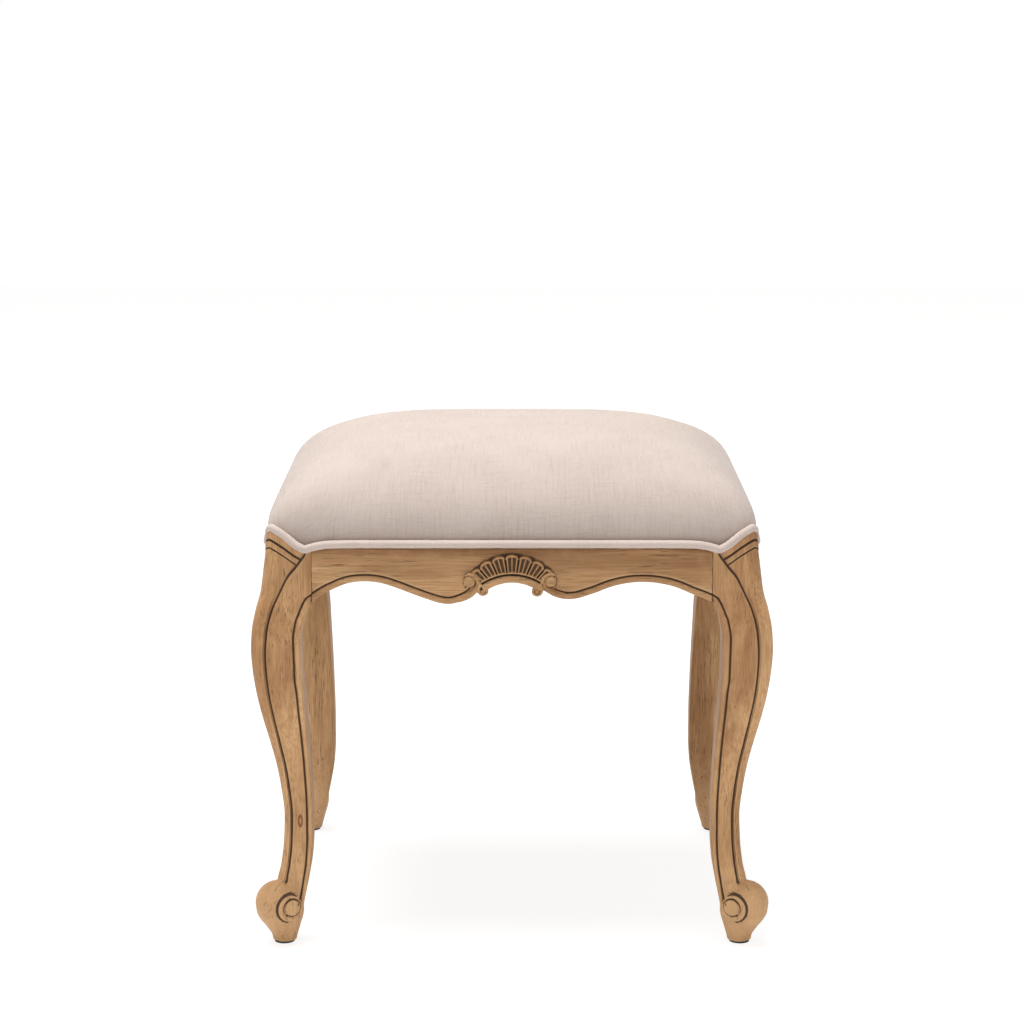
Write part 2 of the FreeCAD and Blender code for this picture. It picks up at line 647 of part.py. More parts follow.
def screw(name, length, seat, turn):
    """A pan-head screw whose head stands on the plane through its seat, and the hole that it goes in."""
    shank_length = f"( {length} - screw_head - screw_point )"
    head = make("Part::Cylinder", name + "_head", Radius="screw_head_radius", Height="screw_head")
    shank = make("Part::Cylinder", name + "_shank", Radius="screw_radius", Height=shank_length)
    point = make("Part::Cone", name + "_point", Radius1="screw_radius", Radius2="screw_radius / 4",
                 Height="screw_point")
    hole = make("Part::Cylinder", name + "_hole", Radius="screw_radius + screw_clearance",
                Height=f"2 * {length}")
    sink = make("Part::Cylinder", name + "_sink", Radius="screw_head_radius + screw_clearance",
                Height="block_reach")
    axis = turn.multVec(Vector(0, 0, 1))
    steps = {head: "0", shank: "screw_head", point: f"screw_head + {shank_length}", hole: "0",
             sink: "screw_head - block_reach"}
    for thing, distance in steps.items():
        spot = [f"{start} + {round(part)} * ( {distance} )" for start, part in zip(seat, axis)]
        place(thing, *spot, turn)
    whole = join("Part::MultiFuse", name, [head, shank, point])
    return whole, join("Part::MultiFuse", name + "_space", [hole, sink])


head_back = "block_screw_length - block_screw_bite"
screw_height = "rail_top - block_screw_drop"
to_rear = Rotation(Vector(0, 0, 1), Vector(0, 1, 0))
to_side = Rotation(Vector(0, 0, 1), Vector(1, 0, 0))
rear_seat = (f"{post_x} - block_screw_place", f"{rail_inside_y} - ( {head_back} )", screw_height)
rear_screw, rear_space = screw("rear_screw", "block_screw_length", rear_seat, to_rear)
side_seat = (f"{rail_inside_x} - ( {head_back} )", f"{post_y} - block_screw_place", screw_height)
side_screw, side_space = screw("side_screw", "block_screw_length", side_seat, to_side)
seat_screw_seat = "rail_top - seat_screw_sink - screw_head"
seat_seat = (f"{post_x} - seat_screw_place", f"{post_y} - seat_screw_place", seat_screw_seat)
seat_screw, seat_space = screw("seat_screw", "seat_screw_length", seat_seat, Rotation())
block_holes = join("Part::MultiFuse", "block_holes", [rear_space, side_space, seat_space])
four_corners(cut("block", block_body, block_holes), "corner_block")
grouped_corners(join("Part::Compound", "block_screws", [rear_screw, side_screw]), "corner_block_screws")
grouped_corners(seat_screw, "seat_screws")
seat_holes = join("Part::Compound", "seat_holes", [
    seat_space,
    mirror("seat_space_rl", seat_space, Vector(1, 0, 0)),
    mirror("seat_space_fr", seat_space, Vector(0, 1, 0)),
    mirror("seat_space_fl", doc.getObject("seat_space_rl"), Vector(0, 1, 0)),
])


# Seat: dust cover, turned-under linen cover, board, foam and wadding, stacked on the rails


def rounded_rectangle(half_x, half_y, radius, height):
    corner = radius * (1 - 1 / math.sqrt(2))
    edges = []
    spots = []
    for x_sign, y_sign in ((1, -1), (1, 1), (-1, 1), (-1, -1)):
        along = Vector(x_sign * (half_x - radius), y_sign * half_y, height)
        across = Vector(x_sign * half_x, y_sign * (half_y - radius), height)
        middle = Vector(x_sign * (half_x - corner), y_sign * (half_y - corner), height)
        spots.append((along, middle, across) if x_sign * y_sign < 0 else (across, middle, along))
    for index, spot in enumerate(spots):
        edges.append(Part.Arc(*spot).toShape())
        edges.append(Part.LineSegment(spot[2], spots[(index + 1) % 4][0]).toShape())
    return Part.Wire(edges)


def slab(name, inset, radius, low, thickness):
    outline = rounded_rectangle(
        size("frame_width") / 2 - inset, size("frame_depth") / 2 - inset, radius, low
    )
    thing = doc.addObject("Part::Feature", name)
    thing.Shape = Part.Face(outline).extrude(Vector(0, 0, thickness))
    return thing


crown_turns = (0, 1.5, 5, 10, 17, 25, 33, 41, 49, 57, 65, 73, 80)  # degrees along the crown's curve
draw_share = 0.3  # of the crown height, over which the side is drawn in
least_step = 0.03  # of the crown height, between the lowest two sections
corner_limit = 0.9  # of the half depth, for the corner radius near the top


def crown(name, offset, low):
    """The crowned seat form, pulled in all over by the offset, from the given height upwards."""
    base = size("rail_top") + size("dust_cover_thickness")
    height = size("crown_height") - offset
    power = size("crown_power")
    half_x = size("frame_width") / 2
    half_y = size("frame_depth") / 2
    start = (low - base) / height
    shares = [math.sin(math.radians(turn)) ** (2 / power) for turn in crown_turns]
    wires = []
    for share in [start] + [share for share in shares if share > start + least_step]:
        full_inset = half_x * (1 - (1 - share ** power) ** (1 / power))
        drawn = size("cover_draw") * max(0, 1 - share / draw_share) ** 2
        inset = size("cover_inset") + offset + full_inset + drawn
        radius = size("crown_corner") + size("crown_corner_growth") * share ** 2
        radius = min(radius, corner_limit * (half_y - inset))
        wires.append(rounded_rectangle(half_x - inset, half_y - inset, radius, base + share * height))
    thing = doc.addObject("Part::Feature", name)
    thing.Shape = Part.makeLoft(wires, True, True)
    return thing


dust_top = size("rail_top") + size("dust_cover_thickness")
board_low = dust_top + size("cover_thickness")
board_top = board_low + size("board_thickness")
foot_inset = size("cover_inset") + size("cover_draw")
board_inset = foot_inset + size("cover_thickness") + 2 * size("soft_clearance")
board_round = size("crown_corner") - size("soft_clearance")

dust_sheet = slab(
    "dust_sheet", size("dust_cover_inset"), board_round, size("rail_top"), size("dust_cover_thickness")
)
keep(cut("dust_cut", dust_sheet, seat_holes), "dust_cover")

board = slab("board", board_inset, board_round, board_low, size("board_thickness"))

cover_outside = crown("cover_outside", 0, dust_top)
cover_inside = crown("cover_inside", size("cover_thickness"), board_low)
mouth_inset = foot_inset + size("cover_turn")
cover_mouth = slab("cover_mouth", mouth_inset, board_round, size("rail_top"), size("crown_height") / 2)
cover_space = join("Part::MultiFuse", "cover_space", [cover_inside, cover_mouth])

wadding_offset = size("cover_thickness") + size("soft_clearance")
foam_offset = wadding_offset + size("wadding_thickness")
wadding_outside = crown("wadding_outside", wadding_offset, board_top)
wadding_inside = crown("wadding_inside", foam_offset, board_top)
keep(cut("wadding", wadding_outside, wadding_inside), "wadding_layer")
keep(crown("foam", foam_offset + size("soft_clearance"), board_top), "foam_pad")

# Staples through the turned-under cover, up into the board
staple_line_x = size("frame_width") / 2 - board_inset - size("staple_inset")
staple_line_y = size("frame_depth") / 2 - board_inset - size("staple_inset")


def staple(x, y, turn):
    wire = size("staple_wire")
    width = size("staple_width")
    crown_bar = Part.makeBox(width, wire, wire, Vector(-width / 2, -wire / 2, 0))
    leg_height = size("staple_leg") + wire
    edges = (-width / 2, width / 2 - wire)
    legs = [Part.makeBox(wire, wire, leg_height, Vector(edge, -wire / 2, 0)) for edge in edges]
    shape = crown_bar.multiFuse(legs).removeSplitter()
    shape.Placement = Placement(Vector(x, y, dust_top), Rotation(Vector(0, 0, 1), turn))
    return shape


staple_shapes = []
staple_reach_x = staple_line_x - size("crown_corner")
staple_reach_y = staple_line_y - size("crown_corner")
for reach, line, turn in ((staple_reach_x, staple_line_y, 0), (staple_reach_y, staple_line_x, 90)):
    count = int(2 * reach / size("staple_spacing")) + 1
    for index in range(count):
        along = (index - (count - 1) / 2) * size("staple_spacing")
        for side in (-1, 1):
            spot = (along, side * line) if turn == 0 else (side * line, along)
            staple_shapes.append(staple(*spot, turn))
staples = doc.addObject("Part::Feature", "staples")
staples.Shape = Part.makeCompound(staple_shapes)
keep(staples, "cover_staples")
cover_cut = cut("cover_cut", cover_outside, cover_space)
keep(cut("cover_pierced", cover_cut, staples), "seat_cover")
board_holes = join("Part::Compound", "board_holes", [seat_holes, staples])
keep(cut("board_cut", board, board_holes), "seat_board")

# Piping round the foot of the cover, over the lip of each corner


def piping_run(start, end, radius):
    """A straight run with round ends, where it meets the runs over the corners."""
    along = (end - start).normalize()
    up = Vector(0, 0, 1)
    slant = radius / math.sqrt(2)
    edges = [
        Part.LineSegment(start - along * radius, end + along * radius).toShape(),
        Part.Arc(end + along * radius, end + (along + up) * slant, end + up * radius).toShape(),
        Part.LineSegment(end + up * radius, start + up * radius).toShape(),
        Part.Arc(start + up * radius, start + (up - along) * slant, start - along * radius).toShape(),
    ]
    return Part.Face(Part.Wire(edges)).revolve(start, along, 360)


runs = []
for x_sign, y_sign in ((1, -1), (1, 1), (-1, 1), (-1, -1)):
    runs.append(round_tube(corner_arc(x_sign, y_sign), size("welt_corner_radius")))
for sign in (-1, 1):
    rail_ends = [Vector(end * corner_x, sign * welt_line_y, welt_low) for end in (-1, 1)]
    side_ends = [Vector(sign * welt_line_x, end * corner_y, welt_low) for end in (-1, 1)]
    runs.append(piping_run(*rail_ends, size("welt_radius")))
    runs.append(piping_run(*side_ends, size("welt_radius")))
welt = doc.addObject("Part::Feature", "welt")
welt.Shape = runs[0].multiFuse(runs[1:])
keep(welt, "seat_welt")

doc.recompute()

for thing in doc.Objects:
    if "Invalid" in thing.State or "Error" in thing.State:
        raise RuntimeError(f"{thing.Name} failed: {thing.State}")
for node in nodes:
    if node.Shape.isNull() or not node.Shape.isValid() or not node.Shape.Solids:
        raise RuntimeError(f"{node.Label} has no valid solid")

os.makedirs("parts", exist_ok=True)
for node in nodes:
    node.Shape.exportStep(f"parts/{node.Label}.step")
    box = node.Shape.BoundBox
    sides = f"{box.XLength:.1f} x {box.YLength:.1f} x {box.ZLength:.1f} mm"
    print(f"{node.Label}: {len(node.Shape.Solids)} solids, {node.Shape.Volume / 1000:.2f} cm3, {sides}")
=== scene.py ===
import bisect
import json
import math

import bmesh
import bpy
import numpy as np
from mathutils import Matrix, Vector
from mathutils.bvhtree import BVHTree
from mathutils.kdtree import KDTree

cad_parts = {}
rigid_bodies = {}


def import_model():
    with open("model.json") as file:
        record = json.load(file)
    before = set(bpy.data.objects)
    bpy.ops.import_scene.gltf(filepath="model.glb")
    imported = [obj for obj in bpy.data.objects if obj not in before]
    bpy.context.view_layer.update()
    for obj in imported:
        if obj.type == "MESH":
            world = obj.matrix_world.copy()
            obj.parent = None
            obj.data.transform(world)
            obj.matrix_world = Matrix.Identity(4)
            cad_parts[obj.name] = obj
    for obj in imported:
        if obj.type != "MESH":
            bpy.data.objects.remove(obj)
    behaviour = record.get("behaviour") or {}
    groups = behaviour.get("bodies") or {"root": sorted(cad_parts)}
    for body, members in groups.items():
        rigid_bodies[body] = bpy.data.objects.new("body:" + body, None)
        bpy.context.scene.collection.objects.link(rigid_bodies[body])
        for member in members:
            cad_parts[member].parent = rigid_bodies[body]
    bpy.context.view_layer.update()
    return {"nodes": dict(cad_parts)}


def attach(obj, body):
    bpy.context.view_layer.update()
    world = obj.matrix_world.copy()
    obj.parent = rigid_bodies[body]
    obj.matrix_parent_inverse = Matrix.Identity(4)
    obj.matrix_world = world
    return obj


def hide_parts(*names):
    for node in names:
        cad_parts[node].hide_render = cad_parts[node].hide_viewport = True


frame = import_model()
nodes = frame["nodes"]
scene = bpy.context.scene
mm = 0.001

# half sizes of the frame over its post faces, and the height of its rails
halfWidth = 243.0
halfDepth = 203.0
railTop = 403.0


def smooth(low, high, value):
    share = min(1.0, max(0.0, (value - low) / (high - low)))
    return share * share * (3 - 2 * share)


def readTable(table, key):
    # smooth curve through sorted pairs that never swings past them
    if key <= table[0][0]:
        return table[0][1]
    if key >= table[-1][0]:
        return table[-1][1]
    index = bisect.bisect([pair[0] for pair in table], key) - 1

    def slope(i):
        return (table[i + 1][1] - table[i][1]) / (table[i + 1][0] - table[i][0])

    def tangent(i):
        if i == 0:
            return slope(0)
        if i == len(table) - 1:
            return slope(i - 1)
        before, after = slope(i - 1), slope(i)
        return 0.0 if before * after <= 0 else 2 * before * after / (before + after)

    span = table[index + 1][0] - table[index][0]
    t = (key - table[index][0]) / span
    return ((2 * t ** 3 - 3 * t ** 2 + 1) * table[index][1] + (t ** 3 - 2 * t ** 2 + t) * span * tangent(index)
            + (3 * t ** 2 - 2 * t ** 3) * table[index + 1][1] + (t ** 3 - t ** 2) * span * tangent(index + 1))


def evenPath(points, count, closed=False):
    # smooth path through the points, sampled at equal steps
    points = [Vector(point) for point in points]
    total = len(points)
    dense = []
    for i in range(total if closed else total - 1):
        if closed:
            four = [points[(i + k) % total] for k in (-1, 0, 1, 2)]
        else:
            four = [points[max(0, min(total - 1, i + k))] for k in (-1, 0, 1, 2)]
        p0, p1, p2, p3 = four
        for step in range(24):
            t = step / 24
            dense.append(0.5 * (2 * p1 + (p2 - p0) * t + (2 * p0 - 5 * p1 + 4 * p2 - p3) * t * t
                                + (3 * p1 - p0 - 3 * p2 + p3) * t ** 3))
    dense.append(points[0] if closed else points[-1])
    array = np.array(dense)
    reach = np.concatenate([[0], np.cumsum(np.linalg.norm(np.diff(array, axis=0), axis=1))])
    wanted = np.linspace(0, reach[-1], count + 1)
    columns = [np.interp(wanted, reach, array[:, axis]) for axis in range(array.shape[1])]
    return [Vector(row) for row in np.array(columns).T]


def mappedGrid(columns, rows, place):
    # grid of quads, each point moved to place(column, row)
    bm = bmesh.new()
    bmesh.ops.create_grid(bm, x_segments=columns, y_segments=rows, size=1)
    for vert in bm.verts:
        column = round((vert.co.x + 1) / 2 * columns)
        row = round((vert.co.y + 1) / 2 * rows)
        vert.co = place(column, row)
    return bm


def closeUp(bm):
    bmesh.ops.remove_doubles(bm, verts=bm.verts, dist=0.002)
    bmesh.ops.holes_fill(bm, edges=[edge for edge in bm.edges if edge.is_boundary], sides=0)
    bmesh.ops.recalc_face_normals(bm, faces=bm.faces)


def sweptTube(path, radii, upright, around=16, flat=1.0):
    # round rod along a path, its section squashed along the upright direction
    upright = Vector(upright).normalized()

    def place(column, row):
        centre = path[row]
        ahead = (path[min(row + 1, len(path) - 1)] - path[max(row - 1, 0)]).normalized()
        across = ahead.cross(upright).normalized()
        turn = 2 * math.pi * column / around
        return centre + (across * math.cos(turn) + upright * math.sin(turn) * flat) * radii[row]

    bm = mappedGrid(around, len(path) - 1, place)
    closeUp(bm)
    return bm


def newObject(name, bm, unit=mm):
    bmesh.ops.scale(bm, vec=(unit, unit, unit), verts=bm.verts)
    mesh = bpy.data.meshes.new(name)
    bm.to_mesh(mesh)
    bm.free()
    piece = bpy.data.objects.new(name, mesh)
    scene.collection.objects.link(piece)
    for polygon in mesh.polygons:
        polygon.use_smooth = True
    return piece


def addInto(whole, solid):
    part = bpy.data.meshes.new("part")
    solid.to_mesh(part)
    solid.free()
    whole.from_mesh(part)
    bpy.data.meshes.remove(part)


def bakeModifiers(piece):
    graph = bpy.context.evaluated_depsgraph_get()
    mesh = bpy.data.meshes.new_from_object(piece.evaluated_get(graph))
    piece.modifiers.clear()
    piece.data = mesh
    for polygon in mesh.polygons:
        polygon.use_smooth = True


def shadeCarving(mesh, reach, rays=22, glazeAndShade=None):
    # first value: painted shade, how much of the sky a point has lost to nearby wood, raised to the drawn glaze and
    # painted shade where that is darker; second value: how sharply the point stands out, which the wood paints paler
    # as edge wear and a painted highlight
    bm = bmesh.new()
    bm.from_mesh(mesh)
    bm.normal_update()
    tree = BVHTree.FromBMesh(bm)
    directions = []
    for i in range(rays):
        height = (i + 0.5) / rays
        turn = i * math.pi * (3 - math.sqrt(5))
        flat = math.sqrt(1 - height * height)
        directions.append(Vector((flat * math.cos(turn), flat * math.sin(turn), height)))
    recess = []
    arris = []
    for vert in bm.verts:
        toNormal = vert.normal.to_track_quat("Z", "Y")
        start = vert.co + vert.normal * reach * 0.03
        lost = 0.0
        for direction in directions:
            hit = tree.ray_cast(start, toNormal @ direction, reach)
            if hit[0] is not None:
                lost += direction.z * (1 - 0.5 * hit[3] / reach)
        drawn = glazeAndShade(vert.co) if glazeAndShade else 0.0
        recess.append(max(2 * lost / rays, drawn))
        bend = 0.0
        for edge in vert.link_edges:
            other = edge.other_vert(vert)
            gap = other.co - vert.co
            if gap.length > 0:
                bend += (other.normal - vert.normal).dot(gap) / gap.length_squared
        arris.append(bend / max(1, len(vert.link_edges)) * reach * max(0.0, 1 - 2 * drawn))
    bm.free()
    for name, values in (("recess", recess), ("arris", arris)):
        layer = mesh.attributes.get(name) or mesh.attributes.new(name, "FLOAT", "POINT")
        layer.data.foreach_set("value", values)


# materials

class Field:
    # one socket of a material, for writing shader maths as plain expressions
    def __init__(self, tree, socket):
        self.tree = tree
        self.socket = socket

    def node(self, kind, settings=None, inputs=None, output=0):
        made = self.tree.nodes.new(kind)
        for key, value in (settings or {}).items():
            if key == "stops":
                while len(made.color_ramp.elements) < len(value):
                    made.color_ramp.elements.new(1.0)
                for element, (position, colour) in zip(made.color_ramp.elements, value):
                    element.position = position
                    element.color = colour
            else:
                setattr(made, key, value)
        for key, value in (inputs or {}).items():
            if isinstance(value, Field):
                self.tree.links.new(value.socket, made.inputs[key])
            else:
                made.inputs[key].default_value = value
        return Field(self.tree, made.outputs[output])

    def maths(self, operation, first, second=0.0):
        return self.node("ShaderNodeMath", {"operation": operation}, {0: first, 1: second})

    def __add__(self, other):
        return self.maths("ADD", self, other)

    def __radd__(self, other):
        return self.maths("ADD", other, self)

    def __sub__(self, other):
        return self.maths("SUBTRACT", self, other)

    def __rsub__(self, other):
        return self.maths("SUBTRACT", other, self)

    def __mul__(self, other):
        return self.maths("MULTIPLY", self, other)

    def __rmul__(self, other):
        return self.maths("MULTIPLY", other, self)

    def sine(self):
        return self.maths("SINE", self)

    def size(self):
        return self.maths("ABSOLUTE", self)

    def between(self, low, high):
        # 0 below low, 1 above high, smooth in the middle
        return self.node("ShaderNodeMapRange", {"interpolation_type": "SMOOTHSTEP"},
                         {"Value": self, "From Min": low, "From Max": high})

    def tint(self, first, second):
        # first colour where this is 0, second where it is 1
        return self.node("ShaderNodeMix", {"data_type": "RGBA"}, {0: self, 6: first, 7: second}, 2)

    def noise(self, scale, detail=2.0, rough=0.5, warp=0.0):
        return self.node("ShaderNodeTexNoise", {}, {"Vector": self, "Scale": scale, "Detail": detail,
                                                    "Roughness": rough, "Distortion": warp})

    def mapped(self, scale=(1, 1, 1), turn=(0, 0, 0), shift=(0, 0, 0)):
        return self.node("ShaderNodeMapping", {},
                         {"Vector": self, "Scale": scale, "Rotation": turn, "Location": shift})

    def part(self, index):
        return self.node("ShaderNodeSeparateXYZ", {}, {0: self}, index)

    def bump(self, strength, distance):
        return self.node("ShaderNodeBump", {}, {"Height": self, "Strength": strength, "Distance": distance})


def srgb(red, green, blue):
    def linear(value):
        value /= 255
        return value / 12.92 if value <= 0.04045 else ((value + 0.055) / 1.055) ** 2.4
    return (linear(red), linear(green), linear(blue), 1.0)


def toned(colour, tone):
    return tuple(channel * tone for channel in colour[:3]) + (1.0,)


def startMaterial(name, colour, roughness):
    material = bpy.data.materials.new(name)
    material.use_nodes = True
    material.diffuse_color = colour
    shader = material.node_tree.nodes["Principled BSDF"]
    shader.inputs["Base Color"].default_value = colour
    shader.inputs["Roughness"].default_value = roughness
    coordinates = material.node_tree.nodes.new("ShaderNodeTexCoord")
    return material, shader, Field(material.node_tree, coordinates.outputs["Object"])


def feed(shader, socket, field):
    field.tree.links.new(field.socket, shader.inputs[socket])


def wear(material, piece):
    piece.data.materials.clear()
    piece.data.materials.append(material)


carvedWood = {
    "light": srgb(210, 168, 122),
    "middle": srgb(187, 143, 99),
    "dark": srgb(147, 105, 68),
    "pore": srgb(96, 66, 42),
    # dark colour painted into recesses and carved lines: painted shade, with glaze left in the carving
    "glazeAndShade": srgb(62, 47, 36),
    # pale colour painted on sharp edges (edge wear and a painted highlight) and on the feet (painted light from the
    # floor)
    "edge": srgb(214, 174, 130),
    "knot": srgb(122, 62, 38),
    "knotSize": (0.0029, 0.006, 0.0078),
    "roughness": 0.56,
    "shine": 0.2,
    "driftScale": 26,
    "figureScale": 70,
    "fibreScale": 620,
    "poreScale": 1150,
    "poreFieldScale": 60,
    "mottleScale": 34,
    # heights over which the feet are painted paler, standing in for light bounced up from the floor
    "feetFloorLight": (0.03, 0.1),
    "grainDepth": 0.0006,
}


def carvedWoodMaterial(name, grainTurn, knot=None, tone=1.0):
    look = {key: toned(value, tone) if key in ("light", "middle", "dark", "edge") else value
            for key, value in carvedWood.items()}
    material, shader, place = startMaterial(name, look["middle"], look["roughness"])
    grain = place.mapped(turn=grainTurn)  # grain runs along local Z
    drift = grain.mapped(scale=(1, 1, 0.12)).noise(look["driftScale"], 3, 0.55, 0.6)
    figure = grain.mapped(scale=(1, 1, 0.055)).noise(look["figureScale"], 4, 0.6, 1.2)
    fibre = grain.mapped(scale=(1, 1, 0.03)).noise(look["fibreScale"], 3, 0.6)
    pores = grain.mapped(scale=(1, 1, 0.045)).noise(look["poreScale"], 1, 0.5).between(0.6, 0.7)
    poreField = grain.mapped(scale=(1, 1, 0.2)).noise(look["poreFieldScale"], 2).between(0.38, 0.62)
    mottle = place.noise(look["mottleScale"], 4, 0.6)
    colour = drift.between(0.34, 0.68).tint(look["dark"], look["light"])
    colour = (figure.between(0.4, 0.64) * 0.55).tint(colour, look["middle"])
    colour = (fibre.between(0.42, 0.62) * 0.46).tint(colour, look["dark"])
    colour = (mottle.between(0.5, 0.75) * 0.25).tint(colour, look["light"])
    foot = 1 - place.part(2).between(*look["feetFloorLight"])
    colour = (foot * 0.55).tint(colour, look["edge"])  # feet painted paler, a painted stand-in for light bounced up from the floor
    colour = (pores * poreField * 0.74).tint(colour, look["pore"])
    if knot:
        reach = look["knotSize"]
        offset = place.mapped(scale=tuple(1 / size for size in reach),
                              shift=tuple(-centre / size for centre, size in zip(knot, reach)))
        distance = offset.node("ShaderNodeVectorMath", {"operation": "LENGTH"}, {0: offset}, 1)
        ring = (1 - distance.between(0.7, 1.05)) * (0.3 + 0.7 * distance.between(0.15, 0.65))
        colour = (0.85 * ring).tint(colour, look["knot"])
    recess = place.node("ShaderNodeAttribute", {"attribute_name": "recess"}, output=2)
    arris = place.node("ShaderNodeAttribute", {"attribute_name": "arris"}, output=2)
    # sharp outward edges painted paler: edge wear, and a painted highlight
    edgeWearAndHighlight = arris.between(0.35, 1.6) * (0.35 + 0.65 * mottle.between(0.3, 0.6))
    colour = (edgeWearAndHighlight * 0.5).tint(colour, look["edge"])
    # recesses and carved lines painted towards the dark glaze colour: painted shade, with glaze in the carving
    paintedShadeAndGlaze = (recess + 0.16 * (mottle - 0.5)).between(0.16, 0.62)
    colour = (paintedShadeAndGlaze * 0.93).tint(colour, look["glazeAndShade"])
    feed(shader, "Base Color", colour)
    feed(shader, "Roughness", look["roughness"] + 0.14 * (fibre - 0.5) + 0.18 * paintedShadeAndGlaze)
    height = fibre * 0.5 - pores * poreField * 0.9 + 0.3 * figure
    feed(shader, "Normal", height.bump(0.32, look["grainDepth"]))
    shader.inputs["Specular IOR Level"].default_value = look["shine"]
    return material


linen = {
    "cover": {"light": srgb(216, 202, 193), "middle": srgb(193, 177, 167), "dark": srgb(140, 121, 111)},
    "piping": {"light": srgb(225, 209, 199), "middle": srgb(206, 190, 180), "dark": srgb(162, 143, 133)},
    "thread": 0.0015,
    "unevenScale": 900,
    "slubScale": 560,
    "fleckScale": 820,
    "cloudScale": 16,
    "weaveDepth": 0.0005,
    "roughness": 0.86,
    "sheen": 0.18,
    "shine": 0.2,
}


def linenMaterial(name, look):
    material, shader, place = startMaterial(name, look["middle"], linen["roughness"])
    flat = place.node("ShaderNodeUVMap", {"uv_map": "weave"})
    uneven = flat.mapped(scale=(1, 0.08, 1)).noise(linen["unevenScale"], 2, 0.6) - 0.5
    unevenAcross = flat.mapped(scale=(0.08, 1, 1)).noise(linen["unevenScale"], 2, 0.6) - 0.5
    turns = 2 * math.pi / linen["thread"]
    warp = flat.part(0) * turns + uneven * 2.2
    weft = flat.part(1) * turns + unevenAcross * 2.2
    over = (warp * 0.5).sine() * (weft * 0.5).sine()  # which thread lies on top
    onTop = over.between(-0.4, 0.4)
    threads = warp.sine().size() * onTop + weft.sine().size() * (1 - onTop)
    slub = flat.mapped(scale=(1, 0.05, 1)).noise(linen["slubScale"], 3, 0.65)
    slubAcross = flat.mapped(scale=(0.05, 1, 1)).noise(linen["slubScale"], 3, 0.65)
    fleck = flat.mapped(scale=(1, 0.1, 1)).noise(linen["fleckScale"], 1)
    cloud = place.noise(linen["cloudScale"], 3)
    # each thread painted light on its crown and dark at its sides: painted shade of the weave
    colour = (0.05 + 0.95 * threads.between(0.1, 0.9)).tint(look["dark"], look["light"])
    colour = (slub.between(0.5, 0.75) * 0.24).tint(colour, look["dark"])
    colour = (slubAcross.between(0.5, 0.75) * 0.2).tint(colour, look["dark"])
    colour = (slub.between(0.5, 0.3) * 0.16).tint(colour, look["light"])
    colour = (fleck.between(0.7, 0.78) * 0.3).tint(colour, look["dark"])
    colour = (cloud.between(0.4, 0.7) * 0.18).tint(colour, look["light"])
    feed(shader, "Base Color", colour)
    feed(shader, "Roughness", linen["roughness"] + 0.1 * (threads - 0.5))
    feed(shader, "Normal", (threads * 0.6 + slub * 0.6 + slubAcross * 0.5).bump(0.4, linen["weaveDepth"]))
    shader.inputs["Sheen Weight"].default_value = linen["sheen"]
    shader.inputs["Sheen Roughness"].default_value = 0.5
    shader.inputs["Specular IOR Level"].default_value = linen["shine"]
    return material


def plainMaterial(name, light, dark, roughness, scale, stretch=(1, 1, 1), bumpSize=0.0004, metallic=0.0):
    material, shader, place = startMaterial(name, light, roughness)
    coarse = place.mapped(scale=stretch).noise(scale, 4, 0.6)
    fine = place.mapped(scale=stretch).noise(scale * 7, 2, 0.6)
    feed(shader, "Base Color", (coarse * 0.6 + fine * 0.4).between(0.36, 0.64).tint(dark, light))
    feed(shader, "Roughness", roughness + 0.2 * (coarse - 0.5))
    feed(shader, "Normal", (coarse * 0.4 + fine * 0.6).bump(0.3, bumpSize))
    shader.inputs["Metallic"].default_value = metallic
    return material


# legs and rails share one wood; the rails' copies are toned darker than the legs', painting the shade under the seat
# onto the rails
legWood = carvedWoodMaterial("legWood", (0, 0, 0), knot=(-0.2105, -0.187, 0.124), tone=1.1)
longRailWood = carvedWoodMaterial("longRailWood", (0, math.pi / 2, 0), tone=0.98)
shortRailWood = carvedWoodMaterial("shortRailWood", (math.pi / 2, 0, 0), tone=0.98)
coverLinen = linenMaterial("coverLinen", linen["cover"])
pipingLinen = linenMaterial("pipingLinen", linen["piping"])
braceWood = plainMaterial("braceWood", srgb(196, 160, 116), srgb(150, 112, 74), 0.7, 60, (1, 1, 0.2))
boardWood = plainMaterial("boardWood", srgb(205, 172, 128), srgb(168, 132, 92), 0.75, 40, (0.1, 1, 1))
screwSteel = plainMaterial("screwSteel", srgb(178, 176, 172), srgb(126, 124, 120), 0.38, 400, metallic=1.0)
glideBlack = plainMaterial("glideBlack", srgb(44, 38, 34), srgb(22, 19, 17), 0.6, 300)
dustCloth = plainMaterial("dustCloth", srgb(52, 50, 50), srgb(30, 29, 29), 0.92, 700)
print("materials ready")

# top edge of the wood along a face, by the distance to the outer post face: level, a dip, then up to the ear
earRise = [(-80, 0.7), (-68, 0.4), (-58, -0.6), (-52, -1.6), (-48, -2.7), (-44, -3.9), (-41.5, -4.4), (-39, -3.5),
           (-33, -0.4), (-29, 2.5), (-25, 5.5), (-21.5, 8.3), (-17.5, 10.7), (-14, 13.0), (-10, 15.0), (-6, 16.4),
           (-2, 17.0), (0, 17.0)]

